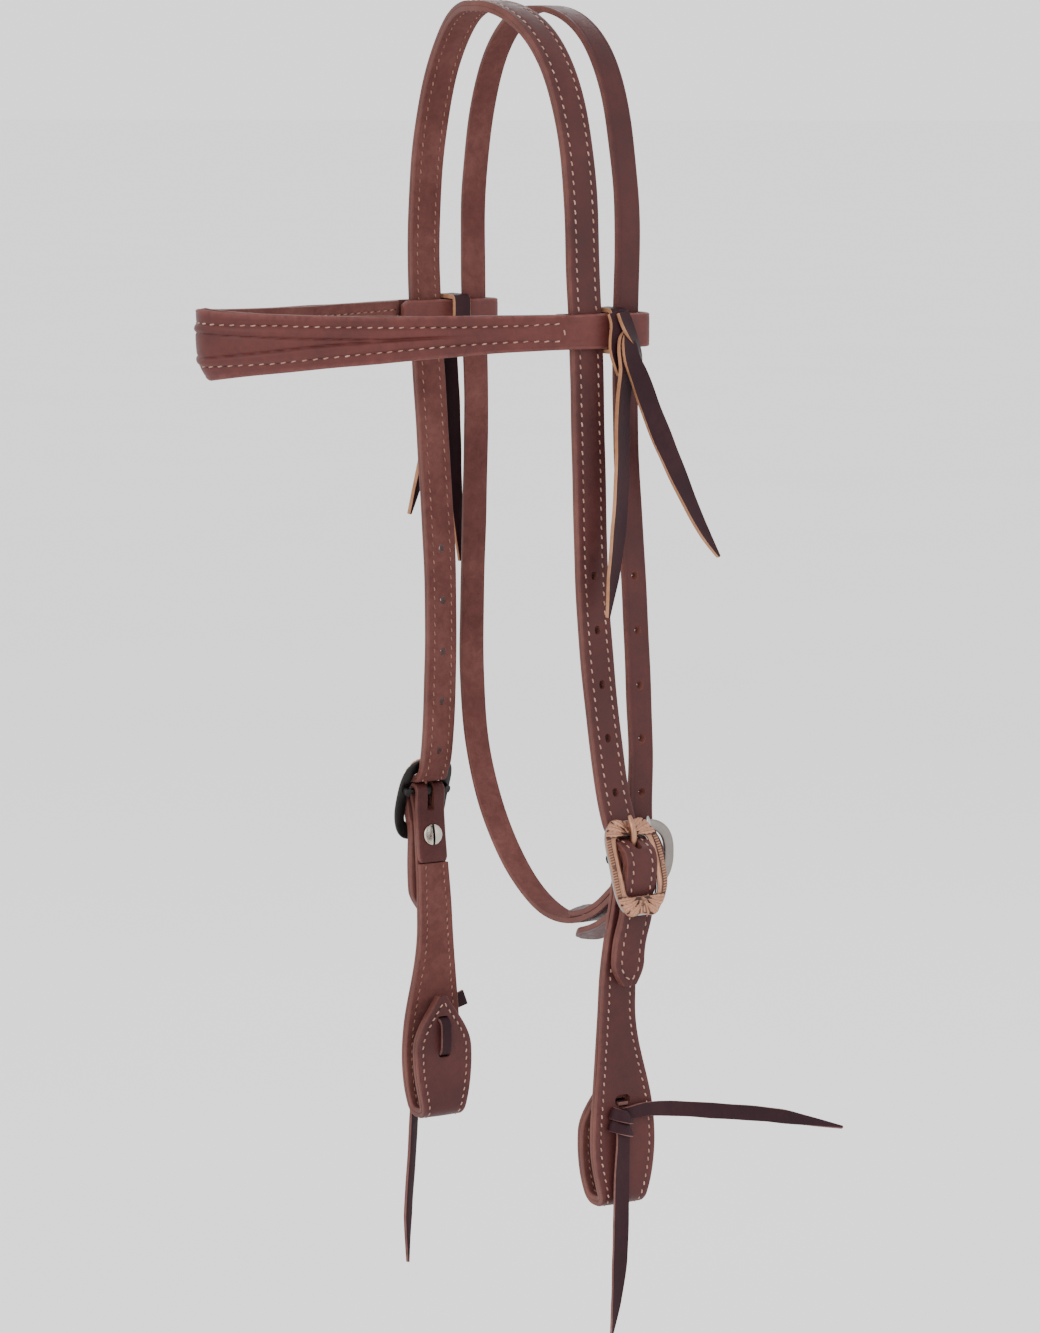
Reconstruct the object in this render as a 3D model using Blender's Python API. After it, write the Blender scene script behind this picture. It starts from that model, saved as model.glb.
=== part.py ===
"""Western headstall: a folded-leather crown, a throatlatch, a shaped browband
tied on with latigo, and two cheek straps hung on engraved cart buckles.

Metres, +Z up.  The horse faces -Y, its near (left) side is +X.  The origin is
the middle of the underside of the crown strap, where it lies on the poll.
Every dimension below is in millimetres and is scaled once, in build_mesh().
"""

import math

import bmesh
import bpy
import numpy as np

MM = 0.001
GAP = 0.3            # air kept between pieces that touch in the real thing

# ---------------------------------------------------------------- crown strap
CROWN_WIDTH = 15.9   # 5/8 in strap
CROWN_THICK = 4.9    # two plies with the seam between them
POLL_REACH = 63.0    # arc length over which the strap turns from level to hanging
POLL_POWER = 1.28
SIDE_ANGLE = 92.3    # hanging angle below the poll, degrees from level
FLARE_START = 273.0  # from here down the sides open over the cheek bones
FLARE_RATE = 0.113   # degrees of opening per millimetre
CROWN_BACK = 8.3     # how far the strap moves back while it comes off the poll
CROWN_BACK_REACH = 38.0
CROWN_LEAN = 0.05    # further backward lean per millimetre of drop
CROWN_LEAN_START = 155.0
HOLE_PITCH = 25.4
HOLE_FIRST = 297.0   # arc length from the poll to the uppermost hole
HOLE_DIAMETER = 4.2
HOLES_OPEN = 5       # above each buckle; the sixth is under the tongue
BUCKLE_SQUEEZE = 3.6 # thickness of the strap where it is pulled round the bar

# ------------------------------------------------------------- throat strap
THROAT_WIDTH = 12.7  # 1/2 in strap
THROAT_THICK = 2.8
THROAT_REACH = 59.5
THROAT_POWER = 1.43
THROAT_SIDE_ANGLE = 91.3
THROAT_RATE = 0.029
THROAT_FLARE_START = 150.0
THROAT_Y = 30.8      # distance behind the crown at the poll
THROAT_BACK = 3.6
THROAT_BACK_REACH = 33.0
THROAT_LEAN = 0.02
THROAT_LEAN_START = 188.0
SLACK_WAVE = 1.5     # the slack strap hangs in a shallow wave
SLACK_LENGTH = 195.0
SLACK_CREST = 222.0
THROAT_HOLE_FIRST = 296.5

# throat loop, seen from the front: outer leaf, from the far side to the buckle
LOOP_POINTS = ((-64.8, -366.0), (-48.5, -394.5), (-25.0, -417.0), (0.0, -428.5),
               (30.0, -427.5), (50.0, -418.5), (61.5, -410.0))
THROAT_BAR = (77.5, 39.0, -389.0)
THROAT_BUCKLE_TILT = 0.0
THROAT_PULL = 36.0   # the loop leaves the bar this far inward of plumb
THROAT_TAIL = 72.0   # billet tail below the buckle bar
THROAT_FOLD = 78.0   # doubled-back end of the loop
FOLD_LIFT = 1.7      # its middle stands off the outer leaf

# ------------------------------------------------------------------ browband
BAND_DEPTH = 151.2   # forward reach of the front arc
BAND_SIDE_X = 76.8   # outer face beside the straps
BAND_PLY = 2.6
BAND_LINING = 2.2
BAND_TOP = -137.3
BAND_BOTTOM = -153.0
BAND_FRONT_RISE = 3.6
BAND_FRONT_DROP = 13.6
BAND_END_SLACK = (0.0, 2.6)     # near, far: room left behind the throat strap
LINING_ENDS = (-2.7, -10.6)     # y where the lining stops, near and far

# --------------------------------------------------------------- cheek straps
FACE_PLY = 2.4       # grain leather
LINING_PLY = 2.4
CHEEK_WIDTH = 15.9
CHEEK_FLARE = 1.1    # half-width gained between the bar and the bit loop
BAR_X, BAR_Y = 91.7, 22.2
BAR_RADIUS = 1.4
CHAPE_LENGTH = 36.0  # doubled end below the bar
SCREW_DROP = 22.0
LOOP_GAP = 12.0      # between the middles of the two leaves of a bit loop
FOLD_WIDTH = 22.0
TAB_LENGTH = 61.0    # return leaf of the bit loop
TIE_HOLES = 17.0     # distance between the two tie holes
TIE_HOLE_RISE = 32.5 # lower tie hole above the fold
LOOP_FLOOR = 3.0     # level floor of the loop, where a bit hangs
LOOP_REST = 2        # half-samples of the facet kept level in it

# ------------------------------------------------------------- cheek buckles
FRAME_TILT = 19.0    # bottom outwards
FRAME_TOP, FRAME_BOTTOM = -17.5, 28.0
FRAME_HALF = 14.7
WINDOW_TOP, WINDOW_BOTTOM = -9.3, 19.0
WINDOW_HALF = 9.0
FRAME_PLATE = 2.0
FRAME_ARCH = 2.7
OVERLAY = 1.1

# the two sides were sewn and hung separately, so they differ a little
NEAR = dict(sign=1.0, bar_z=-386.9, length=166.0, tie_y=21.0, cheek_y=19.2,
            paddle=33.5, paddle_y=22.2)
FAR = dict(sign=-1.0, bar_z=-380.9, length=162.0, tie_y=20.6, cheek_y=22.6,
           paddle=31.5, paddle_y=20.9)

# ---------------------------------------------------------------- ties (latigo)
LACE_THICK = 2.2
BROW_LACE = 9.0
BIT_LACE = 7.4
TIE_Y = 23.0         # middle of the browband tie, between crown and throat strap


# ============================================================ curve functions
def unit(v):
    v = np.asarray(v, float)
    return v / np.linalg.norm(v, axis=-1, keepdims=True)


def spline(points, step=0.5):
    """Natural cubic through the points, sampled about every step."""
    p = np.asarray(points, float)
    t = np.concatenate([[0], np.cumsum(np.linalg.norm(np.diff(p, axis=0), axis=1))])
    n, h = len(p), np.diff(t)
    a, r = np.eye(n), np.zeros_like(p)
    for i in range(1, n - 1):
        a[i, i - 1], a[i, i], a[i, i + 1] = h[i - 1], 2 * (h[i - 1] + h[i]), h[i]
        r[i] = 6 * ((p[i + 1] - p[i]) / h[i] - (p[i] - p[i - 1]) / h[i - 1])
    m = np.linalg.solve(a, r)
    out = []
    for i in range(n - 1):
        k = max(2, int(round(h[i] / step)))
        u = np.arange(k)[:, None] / k
        q = (1 - u) * p[i] + u * p[i + 1]
        q += h[i] ** 2 / 6 * (((1 - u) ** 3 - (1 - u)) * m[i] + (u ** 3 - u) * m[i + 1])
        out.append(q)
    return np.vstack(out + [p[-1:]])


def run_length(p):
    return np.concatenate([[0], np.cumsum(np.linalg.norm(np.diff(p, axis=0), axis=1))])


def at(p, s):
    """Points of a sampled curve at the given distances along it."""
    d = run_length(p)
    return np.stack([np.interp(s, d, p[:, k]) for k in range(p.shape[1])], axis=-1)


def ease(x):
    x = np.clip(x, 0, 1)
    return x * x * (3 - 2 * x)


def hanging(reach, power, side_angle, flare_start, rate, top, length, step=0.5):
    """(x, z) of one half of a strap over the poll: level at the top, turning
    down exponentially, then opening at a steady rate."""
    s = np.arange(0, length + step, step)
    angle = side_angle * (1 - np.exp(-((s / reach) ** power)))
    angle = np.radians(angle - rate * np.maximum(0, s - flare_start))
    mid = (angle[1:] + angle[:-1]) / 2
    x = np.concatenate([[0], np.cumsum(np.cos(mid) * step)])
    z = top - np.concatenate([[0], np.cumsum(np.sin(mid) * step)])
    return s, x, z


def crown_rule(length):
    s, x, z = hanging(POLL_REACH, POLL_POWER, SIDE_ANGLE, FLARE_START, FLARE_RATE,
                      CROWN_THICK / 2, length)
    y = CROWN_BACK * (1 - np.exp(-((s / CROWN_BACK_REACH) ** 1.5)))
    y += CROWN_LEAN * np.maximum(0, s - CROWN_LEAN_START)
    return np.column_stack([x, y, z])


def throat_rule(length):
    s, x, z = hanging(THROAT_REACH, THROAT_POWER, THROAT_SIDE_ANGLE,
                      THROAT_FLARE_START, THROAT_RATE, THROAT_THICK / 2, length)
    x = x - SLACK_WAVE * ease((s - 90) / 40) * np.cos(
        2 * math.pi * (s - SLACK_CREST) / SLACK_LENGTH)
    y = THROAT_Y + THROAT_BACK * (1 - np.exp(-((s / THROAT_BACK_REACH) ** 1.5)))
    y += THROAT_LEAN * np.maximum(0, s - THROAT_LEAN_START)
    return np.column_stack([x, y, z])


class Buckle:
    """Frame of a buckle: origin on its bar, v down along the plate, u outwards."""

    def __init__(self, bar, tilt, sign=1.0):
        t = math.radians(tilt)
        self.bar = np.array(bar, float)
        self.v = np.array([math.sin(t), 0, -math.cos(t)])
        self.u = np.array([math.cos(t), 0, math.sin(t)])
        self.sign = sign

    def point(self, v, u, y=0.0):
        v, u, y = np.broadcast_arrays(np.asarray(v, float), u, y)
        p = self.bar + v[..., None] * self.v + u[..., None] * self.u
        p = p + y[..., None] * np.array([0, 1.0, 0])
        return p

    def world(self, p):
        return np.asarray(p) * np.array([self.sign, 1, 1])


# ============================================================= mesh functions
def build_mesh(name, verts, faces, material=None, smooth=True):
    mesh = bpy.data.meshes.new(name)
    mesh.from_pydata([tuple(v * MM) for v in np.asarray(verts, float)], [],
                     [tuple(int(i) for i in f) for f in faces])
    bm = bmesh.new()
    bm.from_mesh(mesh)
    bmesh.ops.recalc_face_normals(bm, faces=bm.faces)
    bm.to_mesh(mesh)
    bm.free()
    obj = bpy.data.objects.new(name, mesh)
    bpy.context.scene.collection.objects.link(obj)
    if material:
        mesh.materials.append(material)
    if smooth:
        mesh.shade_smooth()
        mesh.set_sharp_from_angle(angle=math.radians(35))
    return obj


def skin(rings, closed=False):
    """Vertices and faces of a tube through rings of equal length, capped."""
    n, m = len(rings), len(rings[0])
    verts = np.vstack(rings)
    faces = []
    for i in range(n if closed else n - 1):
        j = (i + 1) % n
        for k in range(m):
            l = (k + 1) % m
            faces.append((i * m + k, i * m + l, j * m + l, j * m + k))
    if not closed:
        faces.append(tuple(range(m)))
        faces.append(tuple((n - 1) * m + k for k in range(m)))
    return verts, faces


def join(*parts):
    verts, faces, base = [], [], 0
    for v, f in parts:
        verts.append(np.asarray(v))
        faces += [tuple(i + base for i in g) for g in f]
        base += len(v)
    return np.vstack(verts), faces


def frames(path, lateral, closed=False):
    """Tangent, lateral and outward normal along a sampled path."""
    if closed:
        tangent = unit(np.roll(path, -1, axis=0) - np.roll(path, 1, axis=0))
    else:
        tangent = unit(np.gradient(path, axis=0))
    lateral = np.broadcast_to(np.asarray(lateral, float), path.shape)
    normal = unit(np.cross(lateral, tangent))
    return tangent, lateral, normal


def choose(path, normal, turn=9.0, longest=32.0, extra=None):
    """Indices of stations: close together only where the strap bends."""
    step = np.linalg.norm(np.diff(path, axis=0), axis=1)
    bend = np.arccos(np.clip((normal[1:] * normal[:-1]).sum(axis=1), -1, 1))
    tangent = unit(np.diff(path, axis=0))
    curve = np.zeros(len(step))
    curve[1:] = np.arccos(np.clip((tangent[1:] * tangent[:-1]).sum(axis=1), -1, 1))
    cost = step / longest + np.maximum(bend, curve) / math.radians(turn)
    if extra is not None:
        cost = cost + np.abs(np.diff(extra)) / 3.0
    total = np.concatenate([[0], np.cumsum(cost)])
    n = max(2, int(math.ceil(total[-1])) + 1)
    index = np.searchsorted(total, np.linspace(0, total[-1], n))
    return np.unique(np.clip(index, 0, len(path) - 1))


def ribbon(path, lateral, front, rear, inner, outer, chamfer=0.0, turn=9.0,
           longest=32.0, keep=(), closed=False):
    """A strap: a flat section between two offsets from the path, with its own
    front and rear width at each sample.  Returns verts and faces."""
    n = len(path)
    front, rear, inner, outer = (np.broadcast_to(np.asarray(a, float), n)
                                 for a in (front, rear, inner, outer))
    _, lateral, normal = frames(path, lateral, closed)
    index = choose(path, normal, turn, longest, front + rear)
    if len(keep):
        index = np.unique(np.concatenate([index, np.asarray(keep, int)]))
    if closed:
        index = index[:-1]
    rings = []
    for i in index:
        p, b, m = path[i], lateral[i], normal[i]
        f, r, lo, hi = -front[i], rear[i], inner[i], outer[i]
        if chamfer:
            c = min(chamfer, (r - f) / 5)
            section = ((f, lo), (r, lo), (r, hi - c), (r - c, hi), (f + c, hi),
                       (f, hi - c))
        else:
            section = ((f, lo), (r, lo), (r, hi), (f, hi))
        rings.append(np.array([p + a * b + h * m for a, h in section]))
    return skin(rings, closed)


def tube(path, radius, sides=10, turn=14.0):
    """A round rod along a path in a plane that holds the Y axis as normal."""
    path = np.asarray(path, float)
    radius = np.broadcast_to(np.asarray(radius, float), len(path))
    tangent, lateral, normal = frames(path, (0, 1, 0))
    index = choose(path, normal, turn, 12.0)
    rings = []
    for i in index:
        a = np.arange(sides) * 2 * math.pi / sides
        rings.append(path[i] + radius[i] * (np.cos(a)[:, None] * lateral[i]
                                            + np.sin(a)[:, None] * normal[i]))
    return skin(rings)


def prism(center, axis, side, up, outline, depth):
    """An extruded outline: its plane axes are side and up, its depth runs
    both ways along axis."""
    outline = np.asarray(outline, float)
    rings = []
    for d in (-depth, depth):
        rings.append(np.array([center + a * side + b * up + d * axis
                               for a, b in outline]))
    return skin(rings)


def stadium(length, width, sides=12):
    """Outline of a slot: a rectangle with round ends, long way second."""
    r, out = width / 2, []
    for k in range(sides):
        a = 2 * math.pi * (k + 0.5) / sides
        y = r * math.sin(a)
        out.append((r * math.cos(a), y + math.copysign((length - width) / 2, y)))
    return out


def box(lo, hi):
    (a, b, c), (d, e, f) = lo, hi
    verts = np.array([(x, y, z) for x in (a, d) for y in (b, e) for z in (c, f)])
    faces = [(0, 1, 3, 2), (4, 6, 7, 5), (0, 4, 5, 1), (2, 3, 7, 6), (0, 2, 6, 4),
             (1, 5, 7, 3)]
    return verts, faces


def turned(profile, sides=16):
    """A solid of revolution about its own z axis, from (radius, z) pairs that
    start and end on the axis."""
    profile = np.asarray(profile, float)
    verts, faces = [(0, 0, profile[0, 1])], []
    for r, z in profile[1:-1]:
        for k in range(sides):
            a = 2 * math.pi * k / sides
            verts.append((r * math.cos(a), r * math.sin(a), z))
    verts.append((0, 0, profile[-1, 1]))
    n = len(profile) - 2
    last = len(verts) - 1
    for k in range(sides):
        l = (k + 1) % sides
        faces.append((0, 1 + l, 1 + k))
        for i in range(n - 1):
            a, b = 1 + i * sides, 1 + (i + 1) * sides
            faces.append((a + k, a + l, b + l, b + k))
        faces.append((last, 1 + (n - 1) * sides + k, 1 + (n - 1) * sides + l))
    return np.array(verts, float), faces


def placed(part, origin, x_axis, y_axis, z_axis):
    v, f = part
    v = np.asarray(v)
    return (np.asarray(origin) + v[:, :1] * x_axis + v[:, 1:2] * y_axis
            + v[:, 2:3] * z_axis), f


def guide(name, part):
    """A cutter or a shape to be joined on: never rendered itself."""
    obj = build_mesh(name, *part, smooth=False)
    obj.hide_render = True
    obj.display_type = "WIRE"
    return obj


def boolean(obj, other, operation):
    mod = obj.modifiers.new(operation.title() + "_" + other.name, "BOOLEAN")
    mod.operation = operation
    mod.object = other
    mod.solver = "EXACT"
    mod.use_self = False


def mirrored(part, sign):
    v, f = part
    return np.asarray(v) * np.array([sign, 1, 1]), f


def set_origin(obj, point):
    """Puts the object's origin on its joint axis without moving its shape."""
    point = np.asarray(point, float) * MM
    for vertex in obj.data.vertices:
        vertex.co.x -= point[0]
        vertex.co.y -= point[1]
        vertex.co.z -= point[2]
    obj.location = tuple(point)


def material(name, color, roughness, metallic=0.0):
    mat = bpy.data.materials.new(name)
    mat.use_nodes = True
    shader = mat.node_tree.nodes["Principled BSDF"]
    shader.inputs["Base Color"].default_value = (*color, 1)
    shader.inputs["Roughness"].default_value = roughness
    shader.inputs["Metallic"].default_value = metallic
    mat.diffuse_color = (*color, 1)
    return mat


# ================================================================ the straps
def buckle_of(side):
    return Buckle((BAR_X, BAR_Y, side["bar_z"]), FRAME_TILT, side["sign"])


# How the crown strap threads a cheek buckle, as (v, u) of its middle:
# inside the top bar, out over the chape, and inside the bottom bar.
THREAD = ((-13.2, -3.2), (-10.4, -2.6), (-7.5, -1.1), (-5.8, 2.4), (-3.2, 5.75),
          (0.0, 7.25), (4.8, 6.9), (9.8, 4.3), (14.6, 1.2), (18.6, -1.6),
          (23.6, -3.6))
SLOT_ANGLE = 58.0    # where the tongue comes through, about the bar


def half_crown(side):
    """One side of the crown strap, canonical (near) side: samples of the
    middle, its thickness, the arc length of the rule part and its tail."""
    b = buckle_of(side)
    rule = crown_rule(420)
    stop = np.interp(-(side["bar_z"] + 27.0), -rule[:, 2], np.arange(len(rule)) * 0.5)
    s = np.concatenate([np.arange(0, 120, 8), np.arange(120, stop, 20), [stop]])
    upper = at(rule, s)
    thread = b.point([p[0] for p in THREAD], [p[1] for p in THREAD])
    thread[:, 1] = np.linspace(21.6, BAR_Y - 0.2, len(THREAD))
    tail = np.array([(BAR_X + 1.9, 21.0, b.bar[2] - 37.5),
                     (BAR_X + 0.2, 21.0, b.bar[2] - 60.0)])
    return spline(np.vstack([upper, thread, tail]))


def crown_thickness(p, b):
    """Full thickness, squeezed where the strap bends round the bar."""
    v = (p - b.bar) @ b.v
    u = (p - b.bar) @ b.u
    squeeze = ease((v + 17) / 4.0) * (1 - ease((v + 3.4) / 3.0))
    squeeze = np.where(np.abs(u) < 12, squeeze, 0)
    return CROWN_THICK + (BUCKLE_SQUEEZE - CROWN_THICK) * squeeze


def crown():
    halves = []
    for side in (NEAR, FAR):
        p = half_crown(side)
        halves.append((p, crown_thickness(p, buckle_of(side))))
    near, far = halves
    far_p = far[0] * np.array([-1, 1, 1])
    path = np.vstack([near[0][::-1], far_p[1:]])
    thick = np.concatenate([near[1][::-1], far[1][1:]])
    d = run_length(path)
    top = len(near[0]) - 1
    # the tails end in a blunt point
    end = np.minimum(d, d[-1] - d)
    half = CROWN_WIDTH / 2 * np.clip(0.42 + 0.58 * np.sin(
        np.clip(end / 11.0, 0, 1) * math.pi / 2), 0, 1)
    flat = [top - 12, top + 12]      # the poll rest: a level facet 12 mm long
    path = path.copy()
    drop = path[top + 13] - (path[top + 13, 0], 0, CROWN_THICK / 2)
    path -= drop * (1 - ease((np.abs(d - d[top]) - 6.5) / 40))[:, None]
    path[top - 13:top + 14, 2] = CROWN_THICK / 2
    path[top - 13:top + 14, 1] = 0.0
    ply = (thick - GAP) / 2
    face = ribbon(path, (0, 1, 0), half, half, GAP / 2, GAP / 2 + ply, 0.7, 11.0,
                  40.0, flat)
    lining = ribbon(path, (0, 1, 0), half, half, -GAP / 2 - ply, -GAP / 2, 0.0,
                    11.0, 40.0, flat)
    cuts = []
    _, lateral, normal = frames(path, (0, 1, 0))
    for side, sign in ((NEAR, -1), (FAR, 1)):
        for k in range(HOLES_OPEN):
            i = int(np.argmin(np.abs(d - (d[top] + sign * (HOLE_FIRST + k * HOLE_PITCH)))))
            t = np.cross(normal[i], lateral[i])
            cuts.append(prism(path[i], normal[i], lateral[i], t,
                              stadium(HOLE_DIAMETER + 0.4, HOLE_DIAMETER, 8), 4.0))
        b = buckle_of(side)
        local = path * np.array([side["sign"], 1, 1]) - b.bar
        angle = np.degrees(np.arctan2(local @ b.u, -(local @ b.v)))
        reach = np.hypot(local @ b.u, local @ b.v)
        i = int(np.argmin(np.abs(angle - SLOT_ANGLE) + np.where(reach < 9, 0, 999)))
        t = np.cross(normal[i], lateral[i])
        cuts.append(prism(path[i], normal[i], lateral[i], t, stadium(11.0, 4.2, 12), 5.0))
    return face, lining, join(*cuts)


def throat():
    """The whole throatlatch as one strap: billet tail, near side, poll, far
    side, loop under the throat, and the end doubled back over the bar."""
    b = Buckle(THROAT_BAR, THROAT_BUCKLE_TILT)
    h = THROAT_THICK / 2
    rule = throat_rule(400)
    near_stop = np.interp(355.0, -rule[:, 2], np.arange(len(rule)) * 0.5)
    near_s = np.concatenate([np.arange(0, 120, 8), np.arange(120, near_stop, 20)])
    near = at(rule, near_s)
    # loop, outer leaf, from the far side up to the bar
    y0, y1 = 37.0, THROAT_BAR[1]
    loop = np.array([(x, y0 + (y1 - y0) * (x + 75) / 150, z) for x, z in LOOP_POINTS])
    pull = math.radians(THROAT_PULL)
    c = Buckle(THROAT_BAR, THROAT_BUCKLE_TILT)
    c.v, c.u = (math.cos(pull) * b.v - math.sin(pull) * b.u,
                math.sin(pull) * b.v + math.cos(pull) * b.u)
    close, wrap_r = (THROAT_THICK + 0.45) / 2, 1.5 + GAP + h

    def spread(q):
        return close + (wrap_r - close) * (0.5 + 0.5 * math.cos(math.pi * min(q / 12, 1)))

    legs = np.array([16.0, 11.0, 6.5, 3.0, 0.0])
    leaf = c.point(legs, [spread(q) for q in legs])
    a = np.radians(np.arange(20, 161, 20))
    wrap = c.point(-wrap_r * np.sin(a), wrap_r * np.cos(a))
    down = c.point(legs[::-1], [-spread(q) for q in legs[::-1]])
    outer_path = spline(np.vstack([at(rule, np.array([300, 320.0])) * np.array([-1, 1, 1]),
                                   loop, leaf]))
    # the doubled end follows the leaf on its upper side
    _, _, n = frames(outer_path, (0, 1, 0))
    d = run_length(outer_path)[-1] - run_length(outer_path)
    pick = [int(np.argmin(np.abs(d - q))) for q in np.arange(24, THROAT_FOLD + 1, 8)]
    lift = THROAT_THICK + 0.45 + FOLD_LIFT * np.sin(
        math.pi * np.clip((d[pick] - 32) / (THROAT_FOLD - 32), 0, 1))
    back = np.array([outer_path[i] - o * n[i] for i, o in zip(pick, lift)])
    # the billet: over the bar, inside the bottom bar, then outside the leaf
    thread = b.point([-24.0, -16.0, -11.8, -8.0, -4.6, 0.0, 4.8, 8.4, 11.1, 14.0, 18.0],
                     [-3.5, -3.35, -2.5, 1.3, 4.75, 6.5, 5.4, 2.1, -1.9, -4.3, -6.9])
    pick = [int(np.argmin(np.abs(d - q))) for q in (26, 36, 48, 62, THROAT_TAIL)]
    off = [5.1, 5.7, 6.2, 6.2, 5.8]
    tail = np.array([outer_path[i] + o * n[i] for i, o in zip(pick, off)])
    far = at(rule, np.concatenate([np.arange(0, 120, 8), np.arange(120, 300, 20)])[1:])
    far = far * np.array([-1, 1, 1])
    head = np.vstack([tail[::-1], thread[::-1], near[::-1]])
    body = np.vstack([far, at(rule, np.array([300, 320.0])) * np.array([-1, 1, 1]), loop,
                      leaf, wrap, down, back])
    head[:, 1] = np.where(np.arange(len(head)) < len(tail) + len(thread), THROAT_BAR[1],
                          head[:, 1])
    path = spline(np.vstack([head, body]))
    s = run_length(path)
    half = THROAT_WIDTH / 2 * (0.3 + 0.7 * np.sin(np.clip(s / 12.0, 0, 1) * math.pi / 2))
    half = half * (0.75 + 0.25 * np.sin(np.clip((s[-1] - s) / 4.0, 0, 1) * math.pi / 2))
    strap = ribbon(path, (0, 1, 0), half, half, -h, h, 0.0, 11.0, 40.0)
    _, lateral, normal = frames(path, (0, 1, 0))
    cuts = []
    top = int(np.argmin(np.abs(path[:, 0]) + np.where(path[:, 2] > -10, 0, 999)))
    for k in range(HOLES_OPEN):
        i = int(np.argmin(np.abs(s - (s[top] - THROAT_HOLE_FIRST - k * HOLE_PITCH))))
        t = np.cross(normal[i], lateral[i])
        cuts.append(prism(path[i], normal[i], lateral[i], t, stadium(4.0, 3.6, 10), 3.0))
    local = path - b.bar
    angle = np.degrees(np.arctan2(local @ b.u, -(local @ b.v)))
    reach = np.hypot(local @ b.u, local @ b.v)
    i = int(np.argmin(np.abs(angle - 52) + np.where((reach < 9) & (reach > 5.2), 0, 999)))
    cuts.append(prism(path[i], normal[i], lateral[i], np.cross(normal[i], lateral[i]),
                      stadium(13.0, 3.8, 12), 2.2))
    # tongue slot in the doubled end: over the bar and down both leaves
    slot = slot_round_bar(c, 3.7, 11.0, 6.0, 4.75)
    # screw hole through both leaves
    i = int(np.argmin(np.abs(d - 27.0)))
    centre = outer_path[i] - (THROAT_THICK + 0.45) / 2 * n[i]
    cuts.append(prism(centre, n[i], np.array([0, 1.0, 0]), np.cross(n[i], (0, 1, 0)),
                      stadium(5.6, 5.6, 12), 3.9))
    return strap, join(*cuts), slot, (centre, n[i])


def slot_round_bar(b, width, inner_down, outer_down, radius):
    """Cutter for a tongue slot: a thick half-ring about the bar whose legs run
    down the inner and the outer leaf."""
    outline = []
    for a in np.linspace(-math.pi / 2, math.pi / 2, 9):
        outline.append((-radius * math.cos(a), radius * math.sin(a)))
    outline = [(inner_down, -radius)] + outline + [(outer_down, radius)]
    rings = []
    for y in (-width / 2, width / 2):
        rings.append(np.array([b.point(v, u, y) for v, u in outline]))
    return skin(rings)


# ================================================================== browband
def band_heights(u):
    u = np.clip(u, 0, 1)
    return BAND_TOP + BAND_FRONT_RISE * u ** 4, BAND_BOTTOM - BAND_FRONT_DROP * u ** 1.45


def band_outline():
    """Plan curve of the outer face, near side beside the straps to far side."""
    p0 = np.array([BAND_SIDE_X - 0.1, -0.6])
    p1 = np.array([BAND_SIDE_X - 16.0, -44.0])
    p2 = np.array([30.0, -BAND_DEPTH])
    p3 = np.array([0.0, -BAND_DEPTH])
    t = np.linspace(0, 1, 220)[:, None]
    half = ((1 - t) ** 3 * p0 + 3 * (1 - t) ** 2 * t * p1 + 3 * (1 - t) * t * t * p2
            + t ** 3 * p3)
    return half


def band_half(slack):
    """Samples of one half of the face ply, flap end first, with its half-height."""
    h = BAND_PLY / 2
    half = band_outline()
    d = run_length(half)
    u = d / d[-1]
    z = np.array(band_heights(u)).T
    half = np.column_stack([half, z.mean(axis=1)])
    front = z[:, 0] - half[:, 2]
    # the end folds back behind the throat strap and returns inside both straps
    x_out, x_in = BAND_SIDE_X - h, 63.1
    q = slack
    ends = np.array([(66.0, -6.5), (66.8, 0.0), (66.7, 9.0), (66.2, 17.0), (63.6, 27.5),
                     (63.0, 33.0), (62.8, 38.0 + q / 2), (63.6, 41.7 + q),
                     (66.4, 43.1 + q), (70.8, 43.1 + q), (74.1, 41.2 + q),
                     (x_out, 37.0 + q), (x_out, 26.0), (x_out, 13.0), (x_out, 5.0)])
    ends = np.column_stack([ends, np.full(len(ends), (BAND_TOP + BAND_BOTTOM) / 2)])
    tangent, _, normal = frames(half, (0, 0, 1))
    inner = half - normal * h
    arc = inner[::12]
    control = np.vstack([ends, arc, inner[-1:]])
    path_half = spline(control)
    # heights by plan position: straight ends, then deepening to the front
    total = run_length(path_half)
    begin = total[int(np.argmin(np.abs(path_half[:, 1] - 1.4)
                                + np.where(path_half[:, 0] > 71, 0, 999)))]
    top, bottom = band_heights((total - begin) / (total[-1] - begin))
    path_half[:, 2] = (top + bottom) / 2
    return path_half, (top - bottom) / 2


def browband():
    h = BAND_PLY / 2
    near, near_h = band_half(BAND_END_SLACK[0])
    far, far_h = band_half(BAND_END_SLACK[1])
    path = np.vstack([near, far[-2::-1] * np.array([-1, 1, 1])])
    height = np.concatenate([near_h, far_h[-2::-1]])
    s = run_length(path)
    end = np.minimum(s, s[-1] - s)
    height = height * (0.7 + 0.3 * np.sin(np.clip(end / 4.0, 0, 1) * math.pi / 2))
    face = ribbon(path, (0, 0, 1), height, height, -h, h, 0.7, 12.0, 26.0)
    # the lining covers the front arc only
    first, last = (int(np.argmin(np.abs(p[:, 1] - y) + np.where(p[:, 0] > 70, 0, 999)))
                   for p, y in ((near, LINING_ENDS[0]), (far, LINING_ENDS[1])))
    part = slice(first, len(path) - last)
    lining = ribbon(path[part], (0, 0, 1), height[part], height[part],
                    -h - GAP - BAND_LINING, -h - GAP, 0.0, 12.0, 26.0)
    return face, lining


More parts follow.
